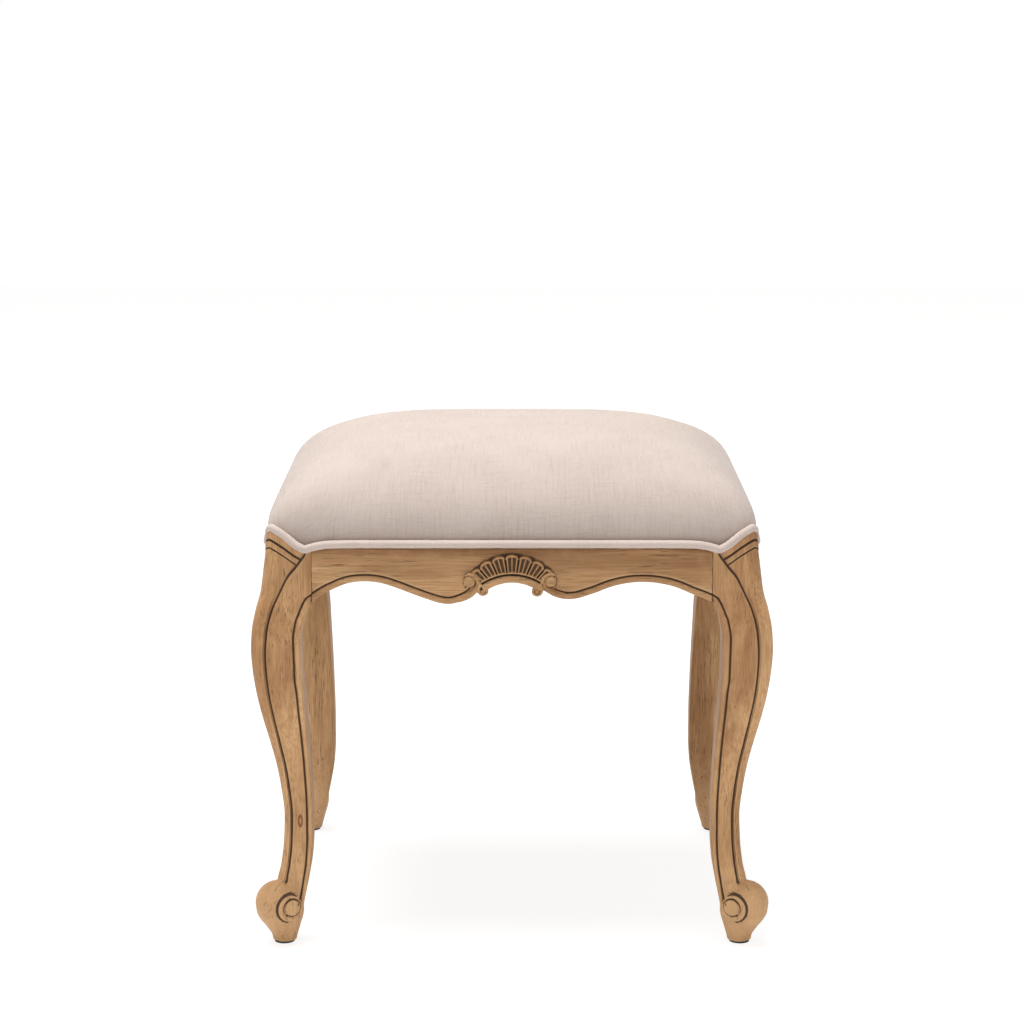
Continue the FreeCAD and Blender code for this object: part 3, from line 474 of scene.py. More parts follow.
legShape = {
    "flare": [(2.5, -3.5), (19, -5), (40, -7.0), (62.8, -8.8), (80.5, -12.8), (104.9, -15.6), (129.8, -16.4),
              (155.3, -14), (181.2, -10), (207.3, -4.2), (233.6, 2.4), (259.2, 7.6), (284.2, 10.9), (302.6, 12),
              (320.5, 11.2), (343.6, 7.0), (361.5, 1.7), (384.8, -2.2), (403, -3.4)],
    "inner": [(0, -27), (13.8, -30), (37.2, -34.6), (60.7, -39.4), (84.3, -43.2), (108.7, -44.7), (135, -44.8),
              (180, -43.4), (217.4, -41.4), (236.9, -40.1), (262.4, -38.6), (274.9, -37.4), (313.4, -37.2),
              (328, -39.4), (338.5, -42.6), (345, -45.6), (350, -48), (403, -48)],
    "lag": [(0, 0), (262, 0), (302, 2), (328, 5), (340, 6.2), (349, 5.2), (361.5, 1.7), (384.8, -2.2), (403, -3.4)],
    "outerGroove": [(0, 10), (62, 10), (80, 9), (105, 8.4), (128, 8.2), (155, 8.8), (180, 9.6), (206, 10.6),
                    (232, 12.2), (260, 13.4), (300, 15), (332, 16), (346, 17.2), (356, 19), (366, 22.8), (377, 27.5),
                    (390, 33), (400, 37.9), (403, 39.3)],
    "corner": [(0, 9), (30, 9), (62, 7), (105, 5.6), (155, 6.6), (206, 8.6), (260, 10.6), (300, 12), (332, 13),
               (366, 14), (403, 15)],
    "innerGroove": [(0, 4.4), (37, 4.6), (60, 4.8), (84, 5.3), (105, 5.7), (217, 6), (262, 6.4), (300, 7),
                    (325, 7.8), (338.5, 8.2), (349, 7.9), (352, 7.3), (354.5, 5.2), (357, 2.6), (359.5, 1.2),
                    (403, 1.2)],
    "grooveDepth": 2.1,
    "jointEdge": [(-37.5, 322), (-39.4, 328), (-42.6, 338.5), (-45.8, 345.5), (-47.8, 349.3), (-53.5, 353.2),
                  (-60, 356.6), (-68, 360)],
    "jointBead": [(0, 4.6), (0.25, 3.0), (0.9, 1.3), (1.9, 0.45), (3.2, 0), (4.3, 0), (5.3, 0.3), (6.2, 0.9),
                  (6.85, 1.6), (7.3, 2.0), (7.75, 1.8), (8.15, 0.8), (8.45, 0.15), (8.8, 0)],
    "joint": 336.0,  # above this the rail's bead runs on into the leg
    "postWidth": 48.0,
    "lift": (352.0, 381.0),  # heights between which the post rises into the ear
    "innerSide": -20.0,  # faces further in than this are plain
    "innerAlong": -75.0,
    "rimIn": 30.0,
    "rimShare": 0.7,
}
footShape = {
    "ballRadius": 22.0,
    "ballSpot": (-9.2, -9.2, 42.0),
    "padRadius": 10.4,
    "padSpot": -15.2,
    "taper": [(2.5, 9.2), (7.6, 10.8), (12, 12.9), (18.9, 16.4), (25.8, 20.4), (32.7, 22.4), (42, 22)],
    "volute": (-25.2, 6.9, 41.2),
    "voluteTurn": math.radians(24),
    "eyeRadius": 7.9,
    "sideSink": 2.2,
    "rollTop": 62.0,
    "ringEdge": [(-180, 10.5), (-135, 12.9), (-90, 15.0), (-45, 15.9), (0, 16.1), (45, 15.2), (90, 13.6), (125, 11.9),
                 (180, 10.5)],
    # turn, radius, thickness and height of the rolled ring
    "ring": [(185, 9.8, 0.9, -3.2), (225, 11.2, 1.7, -3.8), (270, 12.3, 2.5, -3.4), (315, 12.6, 2.9, -1.3),
             (360, 12.6, 3.0, -0.2), (405, 12.0, 2.9, -0.9), (450, 11.0, 2.7, -2.4), (485, 9.8, 2.3, -2.2),
             (515, 8.3, 1.8, -1.4), (535, 7.0, 1.2, -0.6)],
}


def edgeDistance(u, z):
    spot = Vector((u, z))
    edge = [Vector(point) for point in legShape["jointEdge"]]
    best = 1e9
    for first, second in zip(edge, edge[1:]):
        span = second - first
        share = min(1.0, max(0.0, (spot - first).dot(span) / span.length_squared))
        best = min(best, (first + span * share - spot).length)
    return best


def legSection(z):
    # closed outline of the leg at a height, in steps inward from the outer post faces, front face first
    read = {key: readTable(legShape[key], z)
            for key in ("flare", "inner", "lag", "outerGroove", "corner", "innerGroove")}
    flare, inner, lag = read["flare"], read["inner"], read["lag"]
    width = flare - inner
    corner = min(read["corner"], read["outerGroove"] - 2.4)
    bead = read["innerGroove"]
    start = width - read["outerGroove"]
    depth = legShape["grooveDepth"]
    innerDepth = depth * (1 - smooth(357.5, 360.5, z)) * smooth(36, 46, z)
    outerDepth = depth * smooth(55, 62, z)
    arris = 1 - smooth(348, 350.5, z)
    low = 0.75 * outerDepth  # the corner panel lies lower than the face
    profile = [(along * arris, down * arris) for along, down in ((0.0, 4.2), (0.25, 2.5), (0.9, 1.1), (1.9, 0.4))]
    profile += [(max(2.2 * arris, bead - 3.2), 0.1 * arris), (bead - 2.0 + 0.9 * (1 - arris), 0.2 * innerDepth)]
    profile += [(bead - 1.1, 0.55 * innerDepth), (bead - 0.45, 0.92 * innerDepth), (bead, innerDepth)]
    profile += [(bead + 0.45, 0.9 * innerDepth), (bead + 0.85, 0.4 * innerDepth), (bead + 1.15, 0.08 * innerDepth)]
    flatEnd = start - 0.9
    for share in (0.06, 0.25, 0.5, 0.75, 0.94):
        profile.append((bead + 1.5 + (flatEnd - bead - 1.8) * share, 0.0))
    profile += [(flatEnd + 0.05, 0.02 * outerDepth), (flatEnd + 0.3, 0.25 * outerDepth)]
    profile += [(start - 0.2, 0.85 * outerDepth), (start + 0.3, outerDepth), (start + 0.9, outerDepth * 0.97)]
    curveStart = width - corner
    flatPart = max(0.3, curveStart - start - 1.5)
    for share in (0.0, 0.3, 0.6, 0.85):
        profile.append((start + 1.5 + flatPart * share, low * (1 - smooth(0, 1.3, share)) + 0.12 * outerDepth))
    points = []
    for along, down in profile:
        joint = legShape["joint"]
        if z > joint and along < bead + 4:  # the bead of the rail runs on round the corner of the leg
            turned = readTable(legShape["jointBead"], edgeDistance(inner + along, z))
            down += (turned - down) * smooth(joint, joint + 6, z)
        points.append((inner + along, flare - lag * (1 - along / width) - down))
    for step in range(9):
        turn = math.radians(45) * step / 8
        points.append((flare - corner + corner * math.sin(turn), flare - corner + corner * math.cos(turn)))
    points[-1] = (points[-1][0], points[-1][0])
    ring = points + [(v, u) for u, v in reversed(points[:-1])]
    edge = ring[0][1]
    ease = min(3.0, (edge - inner) / 3)
    back = [inner + ease + (edge - inner - ease) * share for share in (0.8, 0.6, 0.4, 0.2, 0.0)]
    ring += [(position, inner) for position in back]
    ring += [(inner + ease * 0.3, inner + ease * 0.3)]
    ring += [(inner, position) for position in reversed(back)]
    return np.array(ring), start + inner


def roundedFoot(ring, z):
    # adds the rolled ball to a section near the floor, and turns the pad round
    bx, by, bz = footShape["ballSpot"]
    flare, inner = readTable(legShape["flare"], z), readTable(legShape["inner"], z)
    centre = np.array([(flare + inner) / 2] * 2)
    reach = ring - centre
    radius = np.linalg.norm(reach, axis=1)
    direction = reach / radius[:, None]
    roundness = 1 - smooth(4, 34, z)
    padRadius = footShape["padRadius"] + 0.12 * z
    radius = radius * (1 - roundness) + padRadius * roundness
    steps = np.linspace(-2, 44, 185)
    trial = radius[:, None] + steps[None, :]
    px = centre[0] + direction[:, :1] * trial
    py = centre[1] + direction[:, 1:] * trial
    if z >= bz:
        ball = np.sqrt((px - bx) ** 2 + (py - by) ** 2 + (z - bz) ** 2) - footShape["ballRadius"]
    else:  # below the middle the ball draws in to the pad
        middle = footShape["padSpot"] + (bx - footShape["padSpot"]) * z / bz
        ball = np.hypot(px - middle, py - middle) - readTable(footShape["taper"], z)
    shaft = np.broadcast_to(steps[None, :], trial.shape)
    aside = np.degrees(np.abs(np.arctan2(direction[:, 1], direction[:, 0]) - math.pi / 4))[:, None]
    soft = 0.6 + 4.4 * np.clip((aside - 14) / 40, 0, 1) + 3.0 * (1 - smooth(bz - 12, bz + 4, z))
    share = np.clip(0.5 + 0.5 * (ball - shaft) / soft, 0, 1)
    both = ball + (shaft - ball) * share - soft * share * (1 - share)
    outer = radius.copy()
    for index in range(len(ring)):
        inside = np.nonzero(both[index] < 0)[0]
        if len(inside):
            last = min(inside[-1], len(steps) - 2)
            a, b = both[index, last], both[index, last + 1]
            outer[index] = trial[index, last] + (trial[index, last + 1] - trial[index, last]) * a / (a - b)
    return centre + direction * outer[:, None]


def bandRelief(drop, across):
    # two carved beads under the ear, parallel to its edge
    beads = 0.0
    for middle, half, rise in ((3.9, 4.0, 0.45), (12.0, 3.6, 0.55)):
        reach = abs(drop - middle) / half
        if reach < 1:
            beads = max(beads, rise * math.sqrt(1 - reach ** 2))
    cut = 1.5 * math.exp(-((drop - 8.1) / 0.9) ** 2) + 1.4 * math.exp(-((drop - 16.0) / 0.7) ** 2)
    return (beads - cut) * smooth(0.5, 2.5, across) if drop < 19 else 0.0


def rollGlazeAndShade(u, v, z):
    # glaze and painted shade beside the rolled ring and its eye, on both faces of the foot
    cu, cv, cz = footShape["volute"]
    turn = footShape["voluteTurn"]
    dark = 0.0
    for a, b, sink in ((u, v, 0.0), (v, u, footShape["sideSink"])):
        across, forward, rise = a - cu, b - cv, z - cz
        along = across * math.cos(turn) + forward * math.sin(turn)
        depth = forward * math.cos(turn) - across * math.sin(turn) + sink
        if depth < -8:
            continue
        radius = math.hypot(along, rise)
        angle = math.degrees(math.atan2(rise, along))
        edge = readTable(footShape["ringEdge"], angle)
        outside = 0.9 * math.exp(-((radius - edge) / 1.1) ** 2)
        outside *= smooth(-95, -70, angle) * (1 - smooth(100, 130, angle))
        eye = 0.95 * math.exp(-((radius - footShape["eyeRadius"] - 1.1) / 1.1) ** 2) if depth < 2.2 else 0.0
        dark = max(dark, outside, eye * (0.55 + 0.45 * smooth(-10, 6, along)))
    return dark


def legGlazeAndShade(spot):
    # how much dark glaze and painted shade lies in the carved lines of the leg
    u, v, z = spot.x / mm - halfWidth, spot.y / mm - halfDepth, spot.z / mm
    along, out = min(u, v), max(u, v)
    level = z
    low, high = legShape["lift"]
    for _ in range(4 if z > low else 0):
        level = z - readTable(earRise, along) * smooth(low, high, level)
    flare = readTable(legShape["flare"], level)
    if z < footShape["rollTop"]:
        line = rollGlazeAndShade(u, v, z)
        if line > 0.05:
            return line
    if out < flare - 8:
        return 0.0
    outer = flare - readTable(legShape["outerGroove"], level) + 0.4
    inner = readTable(legShape["inner"], level) + readTable(legShape["innerGroove"], level)
    dark = 0.95 * math.exp(-((along - outer) / 1.0) ** 2) * smooth(58, 62, level)
    if level > legShape["joint"]:
        inner = along - (edgeDistance(along, level) - 7.3)
    dark = max(dark, 0.95 * math.exp(-((along - inner) / 0.95) ** 2) * smooth(40, 47, level))
    if along > outer + 0.5:
        drop = railTop - level
        dark = max(dark, 0.9 * math.exp(-((drop - 8.1) / 1.5) ** 2), math.exp(-((drop - 16.0) / 0.9) ** 2))
    if level > 350:
        dark = max(dark, 0.55 * math.exp(-((along + legShape["postWidth"]) / 0.3) ** 2))
    return dark


def legHeights():
    heights = [railTop - 0.55 * i for i in range(36)]
    heights += list(np.arange(heights[-1] - 1.5, 349, -1.5))
    heights += list(np.arange(heights[-1] - 3, 71, -3))
    heights += list(np.arange(heights[-1] - 1.2, 64.8, -1.2))
    ball = footShape["ballSpot"][2]
    heights += [ball + footShape["ballRadius"] * math.cos(math.radians(turn)) for turn in range(3, 146, 4)]
    heights += list(np.arange(heights[-1] - 1.5, 3.2, -1.5)) + [2.5]
    return heights


def buildLeg():
    rows = []
    for z in legHeights():
        ring, valley = legSection(z)
        if z < 72:
            ring = roundedFoot(ring, z)
        row = []
        lift = smooth(*legShape["lift"], z)
        for u, v in ring:
            carved = max(u, v) > legShape["innerSide"]
            along = min(u, v) if carved else legShape["innerAlong"]
            x, y = u, v
            if carved and z > legShape["lift"][1] and along > valley + 0.6:
                relief = bandRelief(railTop - z, along - valley - 0.6)
                out = Vector((1.0 if u >= v else smooth(-14, 0, u), 1.0 if v >= u else smooth(-14, 0, v)))
                out.normalize()
                x, y = u + out.x * relief, v + out.y * relief
            row.append(Vector((halfWidth + x, halfDepth + y, z + readTable(earRise, along) * lift)))
        rows.append(row)
    # top of the post, turned in under the seat
    middleX, middleY = halfWidth - legShape["rimIn"], halfDepth - legShape["rimIn"]
    share = legShape["rimShare"]
    rim = [Vector((middleX + (p.x - middleX) * share, middleY + (p.y - middleY) * share, p.z)) for p in rows[0]]
    rows.insert(0, rim)
    count = len(rows[0])
    bm = mappedGrid(count, len(rows) - 1, lambda column, row: rows[row][column % count])
    closeUp(bm)
    return newObject("legMaster", bm)


def spunSolid(profile, centre, axis, steps=48):
    # solid of revolution: profile pairs are (radius, height) along the axis
    bm = bmesh.new()
    verts = [bm.verts.new((radius, 0, height)) for radius, height in profile]
    edges = [bm.edges.new(pair) for pair in zip(verts, verts[1:])]
    bmesh.ops.spin(bm, geom=verts + edges, cent=(0, 0, 0), axis=(0, 0, 1), angle=2 * math.pi, steps=steps,
                   use_merge=True)
    bmesh.ops.remove_doubles(bm, verts=bm.verts, dist=0.002)
    turn = Vector(axis).to_track_quat("Z", "Y").to_matrix().to_4x4()
    bmesh.ops.transform(bm, matrix=Matrix.Translation(centre) @ turn, verts=bm.verts)
    bmesh.ops.recalc_face_normals(bm, faces=bm.faces)
    return bm


def footVolutes():
    turn = footShape["voluteTurn"]
    u, v, z = footShape["volute"]
    eye = footShape["eyeRadius"]
    centre = Vector((halfWidth + u, halfDepth + v, z))
    outward = Vector((-math.sin(turn), math.cos(turn), 0))
    along = Vector((math.cos(turn), math.sin(turn), 0))
    roll = [(0, 2.7), (eye * 0.45, 2.55), (eye * 0.75, 2.1), (eye * 0.92, 1.3), (eye, 0.2), (eye + 0.3, -1.5),
            (eye + 1.2, -1.9), (eye + 2.0, -2.4), (eye + 2.4, -3.4), (eye + 2.4, -17), (0, -17)]
    solids = [spunSolid(roll, centre, outward)]
    ring = footShape["ring"]
    path = []
    widths = []
    for angle in np.linspace(ring[0][0], ring[-1][0], 90):
        radius, width, height = [readTable([(row[0], row[k]) for row in ring], angle) for k in (1, 2, 3)]
        spot = math.radians(angle)
        path.append(centre + along * radius * math.cos(spot) + Vector((0, 0, radius * math.sin(spot)))
                    + outward * height)
        widths.append(width)
    solids.append(sweptTube(path, widths, outward, 14, 0.85))
    pieces = []
    for solid in solids:
        twin = solid.copy()
        bmesh.ops.translate(twin, vec=outward * -footShape["sideSink"], verts=twin.verts)
        for vert in twin.verts:  # the same volute on the side face of the foot
            x, y = vert.co.x - halfWidth, vert.co.y - halfDepth
            vert.co.x, vert.co.y = halfWidth + y, halfDepth + x
        bmesh.ops.reverse_faces(twin, faces=twin.faces)
        pieces += [newObject("volute", solid), newObject("volute", twin)]
    return pieces


legMaster = buildLeg()
for volute in footVolutes():
    union = legMaster.modifiers.new("carve", "BOOLEAN")
    union.operation = "UNION"
    union.solver = "EXACT"
    union.object = volute
bakeModifiers(legMaster)
for volute in [piece for piece in scene.objects if piece.name.startswith("volute")]:
    bpy.data.objects.remove(volute)
shadeCarving(legMaster.data, 0.005, glazeAndShade=legGlazeAndShade)
for ends, ySign in (("front", -1), ("rear", 1)):
    for side, xSign in (("left", -1), ("right", 1)):
        mesh = legMaster.data.copy()
        mesh.transform(Matrix.Diagonal((xSign, ySign, 1, 1)))
        if xSign * ySign < 0:
            mesh.flip_normals()
        leg = bpy.data.objects.new(f"carvedLeg_{ends}_{side}", mesh)
        scene.collection.objects.link(leg)
        wear(legWood, leg)
        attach(leg, "root")
        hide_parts(f"leg_{ends}_{side}")
bpy.data.objects.remove(legMaster)
print("legs carved")

shellShape = {
    "fanCentre": 345.3,
    "petals": 7,
    "petalAngle": 15.7,
    "tip": 52.8,
    "bandCentre": 326.9,
    "bandMiddle": 46.8,
    "bandHalf": 3.8,
    "rootArc": 52.0,
    "voxel": 0.0004,
    "left": {"knob": (41.6, 371.3), "curl": (27.6, 361.8),
             "bead": [(60, 351.4), (52.4, 353.0), (44.4, 356.2), (38, 360.4), (34, 365.2), (33.0, 370), (34.6, 374.6),
                      (38, 377.6), (42, 378.6), (46, 377.0)]},
    "right": {"knob": (37.8, 371.7), "curl": (23.8, 361.2),
              "bead": [(57.9, 356.3), (51.4, 356.5), (43.8, 358.6), (37, 362.2), (31.8, 366), (29.6, 370.4),
                       (30.8, 375), (34.2, 378), (38.2, 379.0), (42.2, 377.4)]},
    "beadWidth": [(0, 1.2), (14, 3.2), (30, 3.5), (46, 2.6), (60, 2.1), (72, 1.7), (80, 0.9)],
    "knob": [(0, 7.4), (2.2, 7.1), (4.1, 5.9), (5.3, 4.0), (5.8, 1.4), (5.8, -2), (0, -2)],
    "curl": [(2.2, 7.2), (4.6, 4.4), (5.0, 0.8), (3.4, -2.6), (0.2, -3.6), (-2.8, -2.0), (-3.2, 1.0), (-1.2, 2.4)],
    "curlWidth": [(0, 2.8), (15, 1.9), (35, 1.5), (50, 1.4), (60, 0.9)],
    "curlEye": [(0, 3.2), (1.3, 2.8), (2.1, 1.6), (2.3, 0), (2.3, -8), (0, -8)],
    "curlBack": [(0, 0.6), (4.4, 0.4), (4.7, -0.4), (4.7, -9), (0, -9)],
}

# rails: lower edge from the joint to the middle, as distance from the middle and height
railShape = {
    "frontLeft": [(205.5, 322), (203.6, 328), (200.4, 338.5), (197.2, 345.5), (195.2, 349.3), (189, 354.2),
                  (183, 358), (175.6, 362), (160, 368.3), (144.4, 370.2), (128.8, 368.8), (113.3, 364), (97.8, 358),
                  (82.3, 352.3), (70, 348.6), (60, 347.8), (51.1, 349.9), (43.3, 353.4), (36, 358.5), (28, 363.5),
                  (16, 368)],
    "frontRight": [(205.5, 322), (203.6, 328), (200.4, 338.5), (197.2, 345.5), (195.2, 349.3), (189, 352.4),
                   (183, 354.8), (174.7, 358), (159, 364.6), (143.4, 368.3), (127.9, 369.6), (112.3, 368.5),
                   (96.8, 364.9), (81.2, 358.9), (65.7, 353.8), (57.9, 352.6), (50.1, 352.8), (42.3, 355),
                   (36, 358.5), (28, 363.5), (16, 368)],
    "rear": [(205.5, 322), (203.6, 328), (200.4, 338.5), (197.2, 345.5), (195.2, 349.3), (189, 353.2), (183, 356.5),
             (175, 360.2), (159, 366.6), (144, 369.6), (128.8, 369.3), (113, 366.4), (97.5, 361.5), (82, 355.7),
             (68, 351.3), (59, 350.3), (50.5, 351.4), (43, 354.2), (36, 358.5), (28, 363.5), (16, 368)],
    "side": [(165.5, 322), (163.6, 328), (160.4, 338.5), (157.2, 345.5), (155.2, 349.3), (149, 354), (143, 358.6),
             (135, 363.4), (124, 368), (112, 370.3), (101, 370.2), (88, 367), (76, 361.3), (65, 355.2), (55, 351.4),
             (46, 350.4), (37, 352.5), (29, 357.2), (20, 363.3), (10, 368.3)],
    "thickness": 22.0,
    "bead": 7.3,
    "shellHalf": 47.0,
    "middle": 369.8,
    "steps": 300,
    "faceRows": 9,
}


def buildRail(name, left, right, half, shell, matrix, material, node):
    bead = railShape["bead"]
    back = -railShape["thickness"]
    edge = [(-x, z) for x, z in left] + [(0, railShape["middle"])] + [(x, z) for x, z in reversed(right)]
    path = evenPath([(x, z, 0) for x, z in edge], railShape["steps"])
    section = [(0, back), (0, -15), (0, -9), (0, -5.2), (0.25, -3.0), (0.9, -1.3), (1.9, -0.45), (3.2, 0.0),
               (bead - 3.0, 0.0), (bead - 2.0, -0.3), (bead - 1.1, -0.9), (bead - 0.45, -1.6), (bead, -2.0),
               (bead + 0.45, -1.8), (bead + 0.85, -0.8), (bead + 1.15, -0.15), (bead + 1.5, 0.0)]
    faceRows = railShape["faceRows"]
    joinAt = half - legShape["postWidth"]

    def place(column, row):
        spot = path[column]
        ahead = path[min(column + 1, len(path) - 1)] - path[max(column - 1, 0)]
        inward = Vector((-ahead.y, ahead.x)).normalized()
        top = railTop + readTable(earRise, -(half - min(abs(spot.x), joinAt)))
        plain = smooth(railShape["shellHalf"], railShape["shellHalf"] - 12, abs(spot.x)) if shell else 0.0
        if row < len(section):
            offset, out = section[row]
            out = out * (1 - plain) + (out if out < -4 else 0.0) * plain
            return Vector((spot.x + inward.x * offset, out, spot.y + inward.y * offset))
        offset = section[-1][0]
        start = Vector((spot.x + inward.x * offset, 0, spot.y + inward.y * offset))
        upper = Vector((spot.x, 0, top))
        step = row - len(section) + 1
        if step <= faceRows:
            return start.lerp(upper, step / faceRows)
        if step == faceRows + 1:
            return Vector((upper.x, back, upper.z))
        return Vector((spot.x, back, spot.y))

    bm = mappedGrid(railShape["steps"], len(section) + faceRows + 1, place)
    bmesh.ops.remove_doubles(bm, verts=bm.verts, dist=0.002)
    for sign in (-1, 1):
        bmesh.ops.bisect_plane(bm, geom=bm.verts[:] + bm.edges[:] + bm.faces[:], plane_co=(sign * joinAt, 0, 0),
                               plane_no=(sign, 0, 0), clear_outer=True)
    closeUp(bm)
    bmesh.ops.transform(bm, matrix=matrix, verts=bm.verts)
    bmesh.ops.recalc_face_normals(bm, faces=bm.faces)
    rail = newObject(name, bm)
    nearest = KDTree(len(path))
    for index, spot in enumerate(path):
        nearest.insert((spot.x, 0, spot.y), index)
    nearest.balance()
    toLocal = matrix.inverted()

    # dark glaze and painted shade in the rail's bead groove and round the shell and its knobs, and a dark joint line
    # at the leg
    def railGlazeAndShade(spot):
        local = toLocal @ (spot / mm)
        if local.y < -4:
            return 0.0
        if shell and abs(local.x) < railShape["shellHalf"] + 12:
            spread = math.hypot(local.x, local.z - shellShape["fanCentre"])
            outline = 0.8 * (1 - smooth(shellShape["tip"] - 0.6, shellShape["tip"] + 2.2, spread))
            outline *= smooth(0.52, 0.68, (local.z - shellShape["fanCentre"]) / max(1.0, spread))
            for side, own in ((-1, shellShape["left"]), (1, shellShape["right"])):
                gap = math.hypot(local.x - side * own["knob"][0], local.z - own["knob"][1])
                outline = max(outline, 0.75 * (1 - smooth(5.8, 7.8, gap)))
            if abs(local.x) < railShape["shellHalf"] - 6 or outline > 0.5:
                return outline
        distance = nearest.find((local.x, 0, local.z))[2]
        joint = 0.6 * math.exp(-((abs(local.x) - joinAt) / 0.35) ** 2)
        return max(joint, 0.95 * math.exp(-((distance - bead) / 0.95) ** 2))

    shadeCarving(rail.data, 0.005, glazeAndShade=railGlazeAndShade)
    wear(material, rail)
    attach(rail, "root")
    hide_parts(node)


def facing(turn, distance):
    # local face towards -Y, turned to its side of the stool
    return Matrix.Rotation(math.radians(turn), 4, "Z") @ Matrix.Translation((0, -distance, 0)) @ \
        Matrix.Diagonal((1, -1, 1, 1))


buildRail("carvedApron_front", railShape["frontLeft"], railShape["frontRight"], halfWidth, True,
          facing(0, halfDepth), longRailWood, "apron_front")
buildRail("carvedApron_rear", railShape["rear"], railShape["rear"], halfWidth, True,
          facing(180, halfDepth), longRailWood, "apron_rear")
buildRail("carvedApron_right", railShape["side"], railShape["side"], halfDepth, False,
          facing(90, halfWidth), shortRailWood, "apron_right")
buildRail("carvedApron_left", railShape["side"], railShape["side"], halfDepth, False,
          facing(270, halfWidth), shortRailWood, "apron_left")
print("rails carved")


def shellHeight(angle, radius):
    # carved height of the petals over the rail, and how dark the glaze and painted shade lie there
    step = shellShape["petalAngle"]
    last = shellShape["petals"] // 2
    petal = max(-last, min(last, round(angle / step)))
    side = (angle - petal * step) / (step / 2)
    tip = shellShape["tip"] - 3.2 * abs(side) ** 2.4
    low = shellShape["fanCentre"] - shellShape["bandCentre"]
    turn = math.radians(angle)
    root = -low * math.cos(turn) + math.sqrt((low * math.cos(turn)) ** 2 + shellShape["rootArc"] ** 2 - low ** 2)
    fromTip = tip - radius
    fromRoot = radius - root
    rim = math.exp(-((abs(side) - 0.74) / 0.15) ** 2)
    rib = math.exp(-(side / 0.12) ** 2) * smooth(-1, 2, fromTip)
    lip = math.exp(-((fromTip - 1.3) / 1.1) ** 2)
    foot = math.exp(-((fromRoot - 1.0) / 1.2) ** 2)
    ridge = max(rim, 0.9 * rib, lip, 0.9 * foot)
    swell = (2.6 + 1.6 * smooth(0, 14, fromRoot)) * (1 - 0.35 * smooth(38, 54, abs(angle)))
    valley = math.exp(-((abs(side) - 1.0) / 0.08) ** 2) * smooth(0.5, 2.5, fromRoot)
    height = swell * (1 - 0.22 * abs(side) ** 2) + 2.1 * ridge - 1.9 * valley - 1.2
    dark = max(0.55 * (1 - smooth(0.1, 0.5, ridge)), 0.9 * valley)
    return height, tip, root, dark


def buildShell(ends, turn, node):
    solids = []
    half = shellShape["petals"] / 2 * shellShape["petalAngle"]
    columns, rows = 210, 40

    def place(column, row):
        angle = -half + 2 * half * column / columns
        _, tip, root, _ = shellHeight(angle, 40)
        radius = root + (tip - root) * max(0, row - 1) / (rows - 2) if row < rows else tip
        height = shellHeight(angle, radius)[0]
        height *= smooth(-0.4, 1.2, tip - radius + 0.15) if row < rows else 0
        if row in (0, rows):
            height = -1.6
        spot = math.radians(angle)
        return Vector((radius * math.sin(spot), max(height, -1.6), shellShape["fanCentre"] + radius * math.cos(spot)))

    fan = mappedGrid(columns, rows, place)
    edges = [edge for edge in fan.edges if edge.is_boundary]
    lifted = bmesh.ops.extrude_edge_only(fan, edges=edges)["geom"]
    for vert in [part for part in lifted if isinstance(part, bmesh.types.BMVert)]:
        vert.co.y = -2.2
    closeUp(fan)
    solids.append(fan)

    def arcPath(radius, low, high, count, depth):
        path = []
        for step in range(count + 1):
            spot = math.radians(low + (high - low) * step / count)
            path.append(Vector((radius * math.sin(spot), depth, shellShape["bandCentre"] + radius * math.cos(spot))))
        return path

    band = arcPath(shellShape["bandMiddle"], -37, 37, 60, 0.4)
    solids.append(sweptTube(band, [shellShape["bandHalf"]] * len(band), (0, 1, 0), 20, 1.05))
    for side, own in ((-1, shellShape["left"]), (1, shellShape["right"])):
        x, z = own["knob"]
        solids.append(spunSolid(shellShape["knob"], (side * x, 0, z), (0, 1, 0), 32))
        path = evenPath([(side * px, -0.8 + 3.6 * smooth(4, 7, index), pz)
                         for index, (px, pz) in enumerate(own["bead"])], 80)
        widths = [readTable(shellShape["beadWidth"], i) for i in range(len(path))]
        solids.append(sweptTube(path, widths, (0, 1, 0), 16, 1.1))
        x, z = own["curl"]
        path = evenPath([(side * (x + dx), 0.4, z + dz) for dx, dz in shellShape["curl"]], 60)
        widths = [readTable(shellShape["curlWidth"], i) for i in range(len(path))]
        solids.append(sweptTube(path, widths, (0, 1, 0), 14, 1.7))
        solids.append(spunSolid(shellShape["curlEye"], (side * (x + 0.6), 0, z), (0, 1, 0), 24))
        solids.append(spunSolid(shellShape["curlBack"], (side * (x + 0.8), 0, z + 0.2), (0, 1, 0), 28))
    whole = bmesh.new()
    for solid in solids:
        bmesh.ops.transform(solid, matrix=facing(turn, halfDepth), verts=solid.verts)
        bmesh.ops.recalc_face_normals(solid, faces=solid.faces)
        addInto(whole, solid)
    shell = newObject(f"carvedShell_{ends}", whole)
    carve = shell.modifiers.new("onePiece", "REMESH")
    carve.mode = "VOXEL"
    carve.voxel_size = shellShape["voxel"]
    soften = shell.modifiers.new("soften", "SMOOTH")
    soften.factor = 0.5
    soften.iterations = 2
    bakeModifiers(shell)
    toLocal = facing(turn, halfDepth).inverted()

    # dark glaze and painted shade in the shell's hollows, valleys and outline
    def shellGlazeAndShade(spot):
        local = toLocal @ (spot / mm)
        across, up = local.x, local.z - shellShape["fanCentre"]
        angle = math.degrees(math.atan2(across, up))
        if abs(angle) > half:
            return 0.0
        radius = math.hypot(across, up)
        height, tip, root, dark = shellHeight(angle, radius)
        if local.y > height + 0.7:
            return 0.0
        if radius < root - 0.3:
            return 0.9 * math.exp(-((radius - root + 1.2) / 0.8) ** 2)
        return dark if radius < tip else 0.8

    shadeCarving(shell.data, 0.004, 18, shellGlazeAndShade)
    wear(longRailWood, shell)
    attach(shell, "root")
    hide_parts(node)


buildShell("front", 0, "shell_front")
buildShell("rear", 180, "shell_rear")
print("shells carved")

